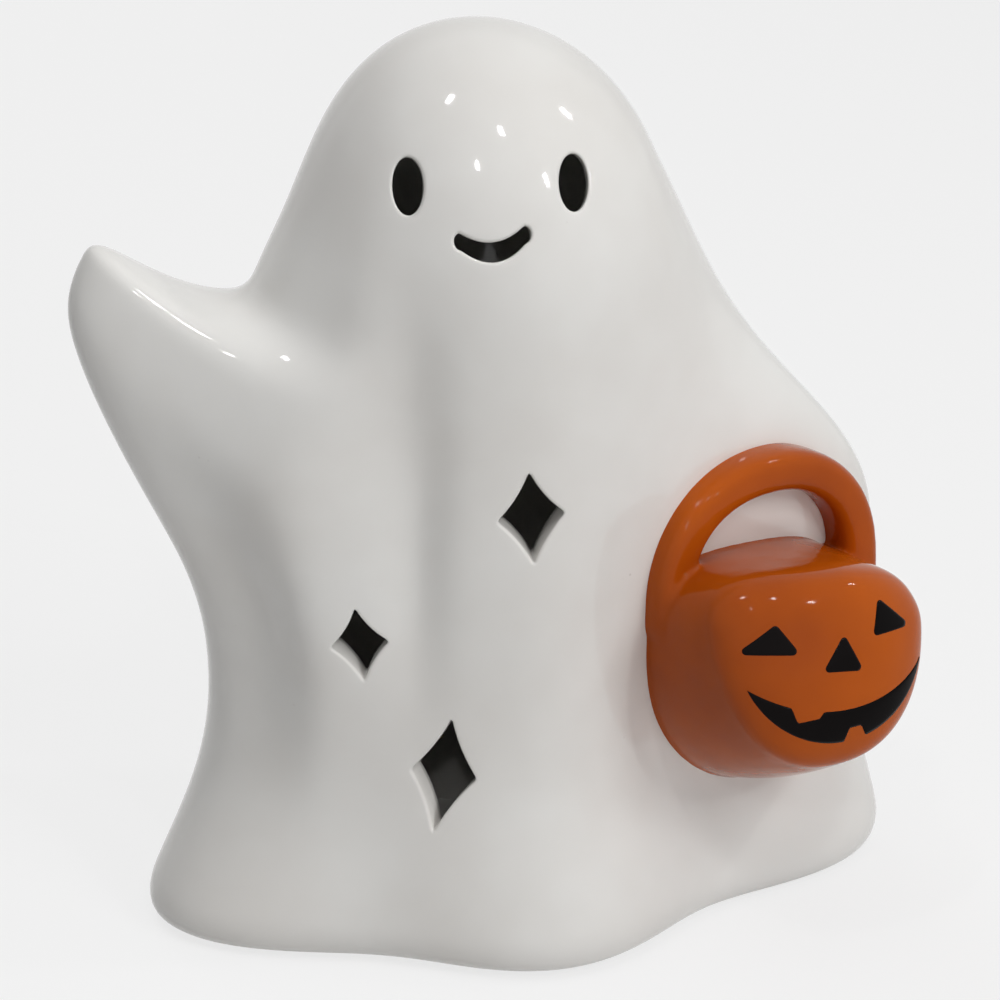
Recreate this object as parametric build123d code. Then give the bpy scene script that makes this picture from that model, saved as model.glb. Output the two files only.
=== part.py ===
from build123d import *
import os
import numpy as np

# Ceramic ghost figure with a pumpkin pail, lit by a battery light in its base.
# Millimetres, +Z up. The face looks along -Y, and the raised arm is on the -X side.
# Levels are measured from the ceramic foot, and plan places from the axis of the light unit.
# The export lifts everything by the foot pads and puts the middle of the plan at the origin.

# Ceramic shell
HEIGHT = 200.0
WALL = 6.0
DOME_START = 140.0
DOME_POWER = 2.4
HEM_ROUND = 9.0
HEM_TUCK = 5.4
BODY_TURN = 9.0
# level, half width, half depth, shift sideways
TRUNK = [
    (0, 61, 46, 4.0),
    (25, 57, 42, 1.5),
    (60, 54, 41, 0.0),
    (100, 52, 40, -0.5),
    (DOME_START, 43, 39, 1.5),
    (HEIGHT, 42, 37, -2.5),
]
# level, how far the raised arm is drawn out of the trunk
ARM = [
    (0, 17.0), (30, 10.5), (58, 9.5), (80, 16.0), (96, 30.0), (106, 38.5), (114, 40.0),
    (121, 40.0), (128, 36.0), (136, 17.5), (146, 9.0), (160, 5.0), (HEIGHT, 0.0),
]
ARM_SHARPNESS = 5.0
ARM_LIFT = 41.0
ARM_LIFT_REACH = 44.0
ARM_LIFT_POWER = 1.8
ARM_LIFT_FROM = (40.0, 80.0)
# how far below the top of the head the lift starts to fade, and where it is gone
ARM_LIFT_FADE = (50.0, 20.0)
# level, how far the sleeve behind the pail is drawn out of the trunk
SLEEVE = [
    (0, 17.0), (30, 28.0), (60, 35.0), (85, 37.0), (100, 31.0), (120, 17.5), (145, 5.5),
    (170, 0.0), (HEIGHT, 0.0),
]
SLEEVE_SHARPNESS = 6.0
HOLLOW_REACH = 0.7
# angle round the foot, how far the fold swells, half its width in degrees, its height
HEM_FOLDS = [
    (-89, 12, 30, 34),
    (-156, 14, 26, 28),
    (-20, 16, 22, 30),
    (55, 6, 30, 30),
    (122, 7, 30, 30),
]

# Face cut through the shell, measured down from the top of the head
FACE_SHIFT = -0.5
FACE_PITCH = 20.0
EYE_SPACING = 33.9
EYE_DROP = 25.2
EYE_WIDTH = 6.3
EYE_HEIGHT = 11.9
MOUTH_DROP = 36.4
MOUTH_TURN = 5.0
MOUTH_WIDTH = 15.8
MOUTH_OPENING = 4.1
MOUTH_CURVE = 2.6
MOUTH_UPPER_IN = 1.3
MOUTH_LOWER_IN = 1.2
MOUTH_TIP_DROP = 1.4
MOUTH_END_HEIGHT = 2.8
CUT_MARGIN = 1.0
# sideways, level, width, height, turn in the face, direction of the cut from -Y
DIAMONDS = [
    (7.2, 103.5, 14.6, 21.0, 3.0, 0.0),
    (-31.0, 73.5, 12.6, 17.5, 6.0, -20.0),
    (-11.5, 44.0, 14.2, 26.6, -6.0, -24.0),
]
DIAMOND_WAIST = 0.9

# Pumpkin pail
PAIL_CENTRE = (59.6, -14.3, 70.0)
PAIL_YAW = 20.0
PAIL_PITCH = 20.0
PAIL_ROLL = 2.0
PAIL_HALF_WIDTH = 30.3
PAIL_DROP = 40.5
PAIL_RISE = 20.0
PAIL_RIM = 13.8
PAIL_RIM_TIP = 9.6
PAIL_RIM_ROLL = -8.0
PAIL_SQUARENESS = 2.25
PAIL_BACK = -24.0
PAIL_TAPER_FROM = -14.0
PAIL_CREASE = 26.0
PAIL_CREASE_SHARE = 0.85
PAIL_BULGE = 11.5
PAIL_WALL = 5.0
VENT_RADIUS = 4.0
HANDLE_FOOT = (58.8, -13.0, 76.5)
HANDLE_YAW = 30.0
HANDLE_PITCH = 5.0
HANDLE_STAND_OFF = 2.0
HANDLE_HALF_SPAN = 26.0
HANDLE_RISE = 24.6
HANDLE_LEG = 5.0
HANDLE_RADIUS = 4.9

# Black glazed face of the pail, in the pail's own plane
GLAZE_SUNK = 0.3
GLAZE_DEPTH = 0.6
PAIL_LEFT_EYE = [(-22.8, -4.6), (-9.4, -7.3), (-13.8, 0.4)]
PAIL_RIGHT_EYE = [(8.0, -7.0), (19.0, -7.0), (10.8, 1.0)]
PAIL_NOSE = [(-5.2, -12.0), (4.7, -13.7), (0.9, -4.7)]
GRIN_LEFT = (-21.0, -12.7)
GRIN_RIGHT = (21.8, -15.0)
GRIN_TOP = (2.0, -21.4)
GRIN_BOTTOM = (2.0, -28.6)
# sideways, width, level of the tip
TOOTH_UPPER = (-9.0, 6.0, -21.9)
TOOTH_LOWER = (2.0, 4.2, -25.7)

# Foot
SEAT_RADIUS = 38.5
SEAT_DEPTH = 5.2
SEAT_WALL = 6.0
HOLE_RADIUS = 33.0
PAD_RADIUS = 6.0
PAD_THICKNESS = 1.2
PAD_CIRCLE = 50.0
PAD_ANGLES = (28, 164, 208, 332)

# Light unit
FIT_GAP = 0.5
CUP_GAP = 0.6
GASKET_THICKNESS = 1.2
FLANGE_THICKNESS = 3.2
FLANGE_RADIUS = SEAT_RADIUS - FIT_GAP
CUP_RADIUS = HOLE_RADIUS - CUP_GAP
CUP_WALL = 1.5
DECK_THICKNESS = 1.5
PARTITION = 1.5

# Cells and contacts
CELL_RADIUS = 5.25
CELL_LENGTH = 44.5
CELL_TIP_RADIUS = 1.9
CELL_TIP_LENGTH = 0.8
CELL_PITCH = 11.0
CELL_COUNT = 3
CELL_SIDE_GAP = 0.7
CELL_LOW_GAP = 0.5
CELL_TOP_GAP = 0.4
CONTACT_ROOM = 2.9
CONTACT_SHEET = 0.4
CONTACT_WIDTH = 8.0
CONTACT_HEIGHT = 8.0
CONTACT_TOUCH_GAP = 0.05
TAIL_WIDTH = 3.0
TAIL_SLOT_GAP = 0.3

# Circuit board
BOARD_STAND = 3.8
BOARD_THICKNESS = 1.6
BOARD_GAP = 1.3
BOARD_SCREW_CIRCLE = 20.0
BOARD_SCREW_ANGLES = (0, 120, 240)
STAND_RADIUS = 2.6
SCREW_RADIUS = 1.0
SCREW_GAP = 0.1
SCREW_HEAD_RADIUS = 1.9
SCREW_HEAD_HEIGHT = 1.4
SCREW_LENGTH = 4.6
SCREW_TIP_ROOM = 0.5
SCREW_SLOT_WIDTH = 0.6
SCREW_SLOT_DEPTH = 0.7
LED_COUNT = 3
LED_CIRCLE = 12.0
LED_RADIUS = 2.5
LED_RIM_RADIUS = 2.9
LED_RIM_HEIGHT = 1.0
LED_HEIGHT = 8.6
LED_STAND = 3.4
LED_PIN = 0.5
LED_PIN_SPACING = 2.54
LED_PROUD = 1.4
LED_HOLE_GAP = 0.25
CHIP_SIZE = (4.9, 3.9, 1.5)
CHIP_LEG = (0.4, 1.0, 0.6)
CHIP_LEG_PITCH = 1.27
CHIP_LEG_ROWS = 4
RESISTOR_SIZE = (3.2, 1.6, 0.6)
RESISTOR_GAP = 4.5

# Cover of the light unit
COVER_THICKNESS = 2.0
COVER_SKIRT = 2.0
COVER_SKIRT_WALL = 1.5
COVER_SKIRT_GAP = 0.2
POST_FROM_WALL = 0.5
POST_ANGLES = (60, 180, 300)
POST_RADIUS = 3.0

# Slide switch
SWITCH_FROM_WALL = 6.3
SWITCH_SIZE = (13.4, 6.0, 5.5)
SWITCH_TRAVEL = 6.0
SWITCH_GAP = 0.3
KNOB_LENGTH = 3.0
KNOB_WIDTH = 2.4
KNOB_PROUD = 0.5
KNOB_SHOE = (4.6, 3.6, 1.0)
LEAD_RADIUS = 0.4
LEAD_SPACING = 4.0
LEAD_COUNT = 3
LEAD_HOLE_GAP = 0.1

# Battery door
DOOR_THICKNESS = 1.8
DOOR_TOP_GAP = 0.2
DOOR_SIDE_GAP = 0.3
DOOR_LAP = 1.4
DOOR_END_LAP = 4.2
HINGE_FROM_WALL = 0.5
BARREL_RADIUS = 1.3
BARREL_ROOM = 1.0
PIN_RADIUS = 0.9
PIN_LENGTH = 1.4
PIN_GAP = 0.1
TONGUE_THICKNESS = 1.2
TONGUE_WIDTH = 9.0
TONGUE_HEIGHT = 3.4
TONGUE_GAP = 0.6
TONGUE_FROM_WALL = 0.6
NAIL_NOTCH_RADIUS = 4.0
NAIL_NOTCH_DEPTH = 1.2

# Levels that follow from the sizes above
ARM_LIFT_TO = [HEIGHT - fade for fade in ARM_LIFT_FADE]
EYE_LEVEL = HEIGHT - EYE_DROP
MOUTH_LEVEL = HEIGHT - MOUTH_DROP
SEAT_LEVEL = SEAT_DEPTH
FLANGE_TOP = SEAT_LEVEL - GASKET_THICKNESS
FLANGE_BOTTOM = FLANGE_TOP - FLANGE_THICKNESS
DOOR_TOP = FLANGE_BOTTOM + DOOR_THICKNESS
CELL_LEVEL = DOOR_TOP + CELL_LOW_GAP + CELL_RADIUS
DECK_BOTTOM = CELL_LEVEL + CELL_RADIUS + CELL_TOP_GAP
DECK_TOP = DECK_BOTTOM + DECK_THICKNESS
BOARD_BOTTOM = DECK_TOP + BOARD_STAND
BOARD_TOP = BOARD_BOTTOM + BOARD_THICKNESS
COVER_TOP = BOARD_TOP + LED_STAND + LED_HEIGHT - LED_PROUD
CUP_TOP = COVER_TOP - COVER_THICKNESS

# Plan sizes that follow from the sizes above
CUP_INSIDE = CUP_RADIUS - CUP_WALL
POST_CIRCLE = CUP_INSIDE - POST_FROM_WALL - POST_RADIUS
SWITCH_PLACE = CUP_INSIDE - SWITCH_FROM_WALL
BAY_HALF_LENGTH = CELL_LENGTH / 2 + CONTACT_ROOM
BAY_HALF_WIDTH = CELL_PITCH * (CELL_COUNT - 1) / 2 + CELL_RADIUS + CELL_SIDE_GAP
HINGE_X = -(BAY_HALF_LENGTH + PARTITION + HINGE_FROM_WALL)
HINGE_LEVEL = FLANGE_BOTTOM + FLANGE_THICKNESS / 2
DOOR_END_X = BAY_HALF_LENGTH + DOOR_END_LAP
DOOR_HALF_WIDTH = BAY_HALF_WIDTH + DOOR_LAP
CELL_ROWS = [(i - (CELL_COUNT - 1) / 2) * CELL_PITCH for i in range(CELL_COUNT)]
BOARD_RADIUS = CUP_INSIDE - BOARD_GAP
SWITCH_REST_X = -SWITCH_TRAVEL / 2

# Sections of the smooth ceramic forms
SECTION_POINTS = 36
HEM_SECTIONS = 3
TRUNK_SECTIONS = 15
DOME_SECTIONS = 7
DOME_CLOSED = 0.96
DRUM_SECTIONS = 7
BULGE_TURNS = (14, 28, 42, 55, 67, 77, 85)
SECTION_GAP = 0.5


def natural_spline(table, column):
    """Smooth curve through one column of a table of stations, straight at both ends."""
    level = np.array([row[0] for row in table], float)
    value = np.array([row[column] for row in table], float)
    step = np.diff(level)
    count = len(level)
    system = np.eye(count)
    bend = np.zeros(count)
    for i in range(1, count - 1):
        system[i, i - 1:i + 2] = step[i - 1], 2 * (step[i - 1] + step[i]), step[i]
        bend[i] = 6 * ((value[i + 1] - value[i]) / step[i] - (value[i] - value[i - 1]) / step[i - 1])
    moment = np.linalg.solve(system, bend)

    def at(z):
        z = min(max(z, level[0]), level[-1])
        j = min(int(np.searchsorted(level, z, side="right")) - 1, count - 2)
        d = z - level[j]
        h = step[j]
        slope = (value[j + 1] - value[j]) / h - h * (2 * moment[j] + moment[j + 1]) / 6
        return value[j] + d * slope + d * d * moment[j] / 2 + d**3 * (moment[j + 1] - moment[j]) / (6 * h)

    return at


trunk_width = natural_spline(TRUNK, 1)
trunk_depth = natural_spline(TRUNK, 2)
trunk_shift = natural_spline(TRUNK, 3)
arm_reach = natural_spline(ARM, 1)
sleeve_reach = natural_spline(SLEEVE, 1)


def smooth_step(value, low, high):
    """0 below low, 1 above high, and an even rise between them."""
    t = min(max((value - low) / (high - low), 0.0), 1.0)
    return t * t * (3 - 2 * t)


def dome_closing(level, top):
    """Share of the trunk's width that is left at a level of the dome."""
    dome = min(max((level - DOME_START) / (top - DOME_START), 0.0), 1.0)
    return np.sqrt(1 - dome**DOME_POWER)


def front_depth(level):
    """Depth of the shell's front from the axis at one level."""
    return trunk_depth(level) * dome_closing(level, HEIGHT)


def shell_section(level, inset):
    """Closed ring of points at one level: the outer face, or the inner one where inset is the wall."""
    angle = np.linspace(0, 2 * np.pi, SECTION_POINTS, endpoint=False)
    closing = dome_closing(level, HEIGHT - inset)
    under = max(1 - level / HEM_ROUND, 0.0) if inset == 0 else 0.0
    tuck = HEM_TUCK * (1 - np.sqrt(1 - under**2))
    half_width = (trunk_width(level) - inset) * closing - tuck
    half_depth = (trunk_depth(level) - inset) * closing - tuck
    fold = np.zeros_like(angle)
    for place, swell, spread, tall in HEM_FOLDS:
        away = np.angle(np.exp(1j * (angle - np.radians(place))))
        fold += swell * np.exp(-(away / np.radians(spread))**2) * np.exp(-(level / tall)**2)
    share = 1.0 if inset == 0 else HOLLOW_REACH
    arm = share * max(arm_reach(level), 0.0) * np.clip(-np.cos(angle), 0, 1)**ARM_SHARPNESS
    sleeve = share * max(sleeve_reach(level), 0.0) * np.clip(np.cos(angle), 0, 1)**SLEEVE_SHARPNESS
    lift = smooth_step(level, *ARM_LIFT_FROM) * (1 - smooth_step(level, *ARM_LIFT_TO)) * ARM_LIFT
    x = trunk_shift(level) + (half_width + fold) * np.cos(angle) - arm + sleeve
    y = (half_depth + fold) * np.sin(angle)
    z = level + lift * (arm / ARM_LIFT_REACH)**ARM_LIFT_POWER
    return [Vector(*point) for point in zip(x, y, z)]


def shell_levels(bottom, top):
    """Levels of the sections: close together in the hem, even in the trunk, closing up in the dome."""
    hem = [HEM_ROUND * (1 - np.cos(f)) for f in np.linspace(0, np.pi / 2, HEM_SECTIONS + 1)[:-1]]
    trunk = list(np.linspace(HEM_ROUND, DOME_START, TRUNK_SECTIONS))
    turns = np.linspace(0, DOME_CLOSED * np.pi / 2, DOME_SECTIONS + 1)[1:]
    dome = [DOME_START + (top - DOME_START) * np.sin(f) for f in turns]
    return [bottom] + [z for z in hem + trunk + dome if z > bottom + SECTION_GAP]


def ring_wire(points):
    """Smooth closed loop through points evenly numbered round it."""
    count = len(points)
    return Wire([Edge.make_spline(points, periodic=True, parameters=[i / count for i in range(count + 1)])])


def shell_solid(bottom, inset):
    """Solid bounded by the outer or inner face, turned so that the face looks along -Y."""
    rings = [shell_section(z, inset) for z in shell_levels(bottom, HEIGHT - inset)]
    return Rot(0, 0, BODY_TURN) * Solid.make_loft([ring_wire(ring) for ring in rings])


def disc(radius, bottom, top):
    """Upright cylinder between two levels."""
    return Pos(0, 0, (bottom + top) / 2) * Cylinder(radius, top - bottom)


def block(x0, x1, y0, y1, z0, z1):
    """Box between two corners."""
    return Pos((x0 + x1) / 2, (y0 + y1) / 2, (z0 + z1) / 2) * Box(x1 - x0, y1 - y0, z1 - z0)


def on_circle(radius, angle):
    """Place on a circle round the axis of the light unit."""
    return radius * np.cos(np.radians(angle)), radius * np.sin(np.radians(angle))


def upright_plane(origin, yaw, pitch=0.0, roll=0.0):
    """Plane that looks along -Y, turned by yaw, tipped up by pitch and rolled: x sideways, y up, z out."""
    a = np.radians(yaw)
    e = np.radians(pitch)
    r = np.radians(roll)
    out = Vector(np.sin(a) * np.cos(e), -np.cos(a) * np.cos(e), np.sin(e))
    side = Vector(np.cos(a), np.sin(a), 0)
    up = out.cross(side)
    return Plane(origin=origin, x_dir=side * np.cos(r) + up * np.sin(r), z_dir=out)


def cut_through(outline, x, level, yaw, pitch):
    """Prism from the middle of the figure out through its front wall, which it meets at a level."""
    deep = front_depth(level)
    start = (x - np.tan(np.radians(yaw)) * deep, 0, level - np.tan(np.radians(pitch)) * deep)
    return extrude(upright_plane(start, yaw, pitch) * outline, 2 * trunk_depth(0))


def diamond_outline(width, height):
    """Four points joined by arcs that bow inwards."""
    tips = [(width / 2, 0), (0, height / 2), (-width / 2, 0), (0, -height / 2)]
    sides = []
    for (x0, y0), (x1, y1) in zip(tips, tips[1:] + tips[:1]):
        length = np.hypot(width, height) / 2
        middle = np.array([(x0 + x1) / 2, (y0 + y1) / 2])
        inwards = np.array([y0 - y1, x1 - x0]) / length
        sides.append(ThreePointArc((x0, y0), tuple(middle + DIAMOND_WAIST * inwards), (x1, y1)))
    return make_face(Wire(sides))


def mouth_outline():
    """Smile between two arcs, with rounded ends."""
    half = MOUTH_WIDTH / 2
    upper_end = (half - MOUTH_UPPER_IN, MOUTH_CURVE)
    lower_end = (half - MOUTH_LOWER_IN, MOUTH_CURVE - MOUTH_END_HEIGHT)
    tip = (half, MOUTH_CURVE - MOUTH_TIP_DROP)
    left = [(-x, y) for x, y in (upper_end, tip, lower_end)]
    upper = ThreePointArc(upper_end, (0, 0), left[0])
    left_end = ThreePointArc(*left)
    lower = ThreePointArc(left[2], (0, -MOUTH_OPENING), lower_end)
    right_end = ThreePointArc(lower_end, tip, upper_end)
    return make_face(Wire([upper, left_end, lower, right_end]))


def face_cuts():
    """Prisms of the eyes, the mouth and the three diamonds."""
    cuts = []
    eye = Ellipse(EYE_WIDTH / 2, EYE_HEIGHT / 2)
    for side in (-1, 1):
        cuts.append(cut_through(eye, FACE_SHIFT + side * EYE_SPACING / 2, EYE_LEVEL, 0, FACE_PITCH))
    mouth = Rot(0, 0, MOUTH_TURN) * mouth_outline()
    cuts.append(cut_through(mouth, FACE_SHIFT, MOUTH_LEVEL, 0, FACE_PITCH))
    for x, level, width, height, turn, yaw in DIAMONDS:
        outline = Rot(0, 0, turn) * diamond_outline(width, height)
        cuts.append(cut_through(outline, x, level, yaw, 0))
    return cuts


def pail_plane():
    return upright_plane(PAIL_CENTRE, PAIL_YAW, PAIL_PITCH, PAIL_ROLL)


def pail_ring(depth, share, inset):
    """Rounded outline of the pail at one depth: half a drop below its widest line, a low half above."""
    angle = np.linspace(0, 2 * np.pi, SECTION_POINTS, endpoint=False)
    power = 2 / PAIL_SQUARENESS
    across = np.sign(np.cos(angle)) * np.abs(np.cos(angle))**power
    along = np.sign(np.sin(angle)) * np.abs(np.sin(angle))**power
    x = (PAIL_HALF_WIDTH * share - inset) * across
    y = np.where(along < 0, PAIL_DROP * share - inset, PAIL_RISE * share) * along
    plane = pail_plane()
    return [plane.from_local_coords(Vector(a, b, depth)) for a, b in zip(x, y)]


def pail_solid(inset):
    """Drum that tapers to a crease and ends in a bulging front, cut flat at its sloping rim."""
    taper = 1 - PAIL_CREASE_SHARE
    rings = []
    for depth in np.linspace(PAIL_BACK, PAIL_CREASE - inset, DRUM_SECTIONS):
        way = max(depth - PAIL_TAPER_FROM, 0.0) / (PAIL_CREASE - PAIL_TAPER_FROM)
        rings.append(pail_ring(depth, 1 - taper * way**2, inset))
    for turn in np.radians(BULGE_TURNS):
        depth = PAIL_CREASE - inset + PAIL_BULGE * np.sin(turn)
        rings.append(pail_ring(depth, PAIL_CREASE_SHARE * np.cos(turn), inset * np.cos(turn)))
    drum = Solid.make_loft([ring_wire(ring) for ring in rings])
    above = block(-HEIGHT, HEIGHT, 0, HEIGHT, -HEIGHT, HEIGHT)
    slope = Pos(0, PAIL_RIM - inset, 0) * Rot(PAIL_RIM_TIP, 0, PAIL_RIM_ROLL)
    return drum - pail_plane().location * slope * above


def pail_handle():
    """Round arch that rises from the rim and lies against the sleeve."""
    plane = upright_plane(HANDLE_FOOT, HANDLE_YAW, HANDLE_PITCH).offset(HANDLE_STAND_OFF)
    span = HANDLE_HALF_SPAN
    rise = HANDLE_RISE
    legs = [Line((span, -HANDLE_LEG), (span, 0)), Line((-span, 0), (-span, -HANDLE_LEG))]
    arch = EllipticalCenterArc((0, 0), span, rise, arc_size=180)
    path = plane * Wire([legs[0], arch, legs[1]])
    handle = sweep(Plane(origin=path @ 0, z_dir=path % 0) * Circle(HANDLE_RADIUS), path=path)
    for end in (path @ 0, path @ 1):
        handle += Pos(*end) * Sphere(HANDLE_RADIUS)
    return handle


def glaze_outlines():
    """Two eyes, a nose and a grin with one tooth above and one below."""
    corners = (PAIL_LEFT_EYE, PAIL_RIGHT_EYE, PAIL_NOSE)
    triangles = [make_face(Polyline(*points, close=True)) for points in corners]
    grin = make_face(Wire([
        ThreePointArc(GRIN_LEFT, GRIN_BOTTOM, GRIN_RIGHT),
        ThreePointArc(GRIN_RIGHT, GRIN_TOP, GRIN_LEFT),
    ]))
    x, width, tip = TOOTH_UPPER
    grin -= Pos(x, tip + PAIL_DROP / 2) * Rectangle(width, PAIL_DROP)
    x, width, tip = TOOTH_LOWER
    grin -= Pos(x, tip - PAIL_DROP / 2) * Rectangle(width, PAIL_DROP)
    return triangles + [grin]


def glaze_layer(solid, top, bottom):
    """Part of the pail's front between two depths under its face, within the painted outlines."""
    plane = pail_plane()
    back = plane.z_dir * -1
    shell = Pos(*(back * top)) * solid - Pos(*(back * bottom)) * solid
    prisms = [extrude(plane * outline, PAIL_CREASE + 2 * PAIL_BULGE) for outline in glaze_outlines()]
    return [prism & shell for prism in prisms]


def foot_seat():
    """Recess for the light unit under the foot and the hole above it."""
    seat = disc(SEAT_RADIUS, -CUT_MARGIN, SEAT_LEVEL)
    return seat + disc(HOLE_RADIUS, 0, SEAT_LEVEL + SEAT_WALL + CUT_MARGIN)


def ghost_body(outside):
    """Hollow shell with its cut-outs, the seat of the light unit and a vent behind the pail."""
    hollow = shell_solid(WALL, WALL) - disc(SEAT_RADIUS + SEAT_WALL, 0, SEAT_LEVEL + SEAT_WALL)
    shell = outside - hollow - foot_seat()
    for cut in face_cuts():
        shell -= cut
    vent = extrude(pail_plane().offset(PAIL_BACK) * Circle(VENT_RADIUS), PAIL_CREASE - PAIL_BACK)
    return shell - vent


def pumpkin_pail(outside):
    """Pail and handle, cast apart and joined to the ghost along its outer face."""
    whole = pail_solid(0)
    pail = whole + pail_handle() - pail_solid(PAIL_WALL) - outside
    for recess in glaze_layer(whole, 0, GLAZE_SUNK + GLAZE_DEPTH):
        pail -= recess
    glaze = Compound(children=glaze_layer(whole, GLAZE_SUNK, GLAZE_SUNK + GLAZE_DEPTH))
    return max(pail.solids(), key=lambda s: s.volume), glaze


def foot_pads():
    pads = []
    for angle in PAD_ANGLES:
        x, y = on_circle(PAD_CIRCLE, angle + BODY_TURN)
        pads.append(Pos(x, y) * disc(PAD_RADIUS, -PAD_THICKNESS, 0))
    return Compound(children=pads)


def base_gasket():
    return disc(FLANGE_RADIUS, FLANGE_TOP, SEAT_LEVEL) - disc(HOLE_RADIUS + FIT_GAP, FLANGE_TOP, SEAT_LEVEL)


def screw_holes(circle, angles, bottom, top):
    """Pilot holes on a circle."""
    holes = []
    for angle in angles:
        holes.append(Pos(*on_circle(circle, angle)) * disc(SCREW_RADIUS + SCREW_GAP, bottom, top))
    return holes


def tail_slots(bottom, top):
    """Slots that the two outer contacts' tails pass through."""
    slots = []
    for side, row in ((-1, CELL_ROWS[0]), (1, CELL_ROWS[-1])):
        x0 = BAY_HALF_LENGTH - CONTACT_SHEET - TAIL_SLOT_GAP
        x1 = BAY_HALF_LENGTH + TAIL_SLOT_GAP
        half = TAIL_WIDTH / 2 + TAIL_SLOT_GAP
        slots.append(block(*sorted((side * x0, side * x1)), row - half, row + half, bottom, top))
    return slots


def light_base():
    """Flange, cup and battery bay in one moulding."""
    cup = disc(CUP_RADIUS, FLANGE_TOP, CUP_TOP) - disc(CUP_INSIDE, FLANGE_TOP, CUP_TOP)
    deck = disc(CUP_INSIDE, DECK_BOTTOM, DECK_TOP)
    x = BAY_HALF_LENGTH
    y = BAY_HALF_WIDTH
    wall = block(-x - PARTITION, x + PARTITION, -y - PARTITION, y + PARTITION, FLANGE_TOP, DECK_BOTTOM)
    bay = block(-x, x, -y, y, FLANGE_BOTTOM, DECK_BOTTOM)
    base = disc(FLANGE_RADIUS, FLANGE_BOTTOM, FLANGE_TOP) + cup + deck + wall - bay
    for angle in BOARD_SCREW_ANGLES:
        base += Pos(*on_circle(BOARD_SCREW_CIRCLE, angle)) * disc(STAND_RADIUS, DECK_TOP, BOARD_BOTTOM)
    for angle in POST_ANGLES:
        base += Pos(*on_circle(POST_CIRCLE, angle)) * disc(POST_RADIUS, DECK_TOP, CUP_TOP)
    deep = SCREW_LENGTH + SCREW_TIP_ROOM
    for hole in screw_holes(BOARD_SCREW_CIRCLE, BOARD_SCREW_ANGLES, BOARD_TOP - deep, BOARD_BOTTOM):
        base -= hole
    for hole in screw_holes(POST_CIRCLE, POST_ANGLES, COVER_TOP - deep, CUP_TOP):
        base -= hole
    for slot in tail_slots(DECK_BOTTOM, DECK_TOP):
        base -= slot
    return base - door_room() - switch_room()


def door_room():
    """Rebate for the door, slot for its barrel, holes for its pins, slot for its tongue, nail notch."""
    wide = DOOR_HALF_WIDTH + DOOR_SIDE_GAP
    room = block(HINGE_X, DOOR_END_X + DOOR_SIDE_GAP, -wide, wide, FLANGE_BOTTOM, DOOR_TOP + DOOR_TOP_GAP)
    back = HINGE_X - BARREL_RADIUS - BARREL_ROOM
    front = HINGE_X + BARREL_RADIUS + DOOR_SIDE_GAP
    room += block(back, front, -wide, wide, FLANGE_BOTTOM, FLANGE_TOP)
    pin_span = 2 * (wide + PIN_LENGTH + PIN_GAP)
    room += Pos(HINGE_X, 0, HINGE_LEVEL) * Rot(90, 0, 0) * Cylinder(PIN_RADIUS + PIN_GAP, pin_span)
    tongue = BAY_HALF_LENGTH + PARTITION + TONGUE_FROM_WALL
    half = TONGUE_WIDTH / 2 + DOOR_SIDE_GAP
    room += block(tongue - TONGUE_FROM_WALL, tongue + TONGUE_THICKNESS + TONGUE_GAP, -half, half,
                  FLANGE_BOTTOM, FLANGE_TOP)
    notch = disc(NAIL_NOTCH_RADIUS, FLANGE_BOTTOM, FLANGE_BOTTOM + NAIL_NOTCH_DEPTH)
    return room + Pos(DOOR_END_X + DOOR_SIDE_GAP, 0) * notch


def switch_room():
    """Slot in the flange for the knob and a window in the deck for the switch's leads."""
    half = (KNOB_LENGTH + SWITCH_TRAVEL) / 2 + SWITCH_GAP
    deep = KNOB_WIDTH / 2 + SWITCH_GAP
    room = block(-half, half, -deep, deep, FLANGE_BOTTOM, FLANGE_TOP)
    long, wide, tall = SWITCH_SIZE
    room += block(-long / 2, long / 2, -wide / 2, wide / 2, DECK_BOTTOM, DECK_TOP)
    return Pos(0, SWITCH_PLACE) * room


def battery_door():
    """Door plate with a barrel and pins at one end and a friction tongue at the other."""
    wide = DOOR_HALF_WIDTH
    door = block(HINGE_X, DOOR_END_X, -wide, wide, FLANGE_BOTTOM, DOOR_TOP)
    barrel = Pos(HINGE_X, 0, HINGE_LEVEL) * Rot(90, 0, 0)
    door += barrel * Cylinder(BARREL_RADIUS, 2 * wide)
    door += barrel * Cylinder(PIN_RADIUS, 2 * (wide + PIN_LENGTH))
    tongue = BAY_HALF_LENGTH + PARTITION + TONGUE_FROM_WALL
    half = TONGUE_WIDTH / 2
    door += block(tongue, tongue + TONGUE_THICKNESS, -half, half, DOOR_TOP, DOOR_TOP + TONGUE_HEIGHT)
    return door


def battery_cells():
    """Cells side by side, every other one turned round."""
    cells = []
    for i, row in enumerate(CELL_ROWS):
        can = CELL_LENGTH - CELL_TIP_LENGTH
        cell = Pos(0, 0, can / 2) * Cylinder(CELL_RADIUS, can)
        cell += Pos(0, 0, can + CELL_TIP_LENGTH / 2) * Cylinder(CELL_TIP_RADIUS, CELL_TIP_LENGTH)
        towards = 1 if i % 2 == 0 else -1
        cells.append(Pos(-towards * CELL_LENGTH / 2, row, CELL_LEVEL) * Rot(0, towards * 90, 0) * cell)
    return Compound(children=cells)


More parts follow.
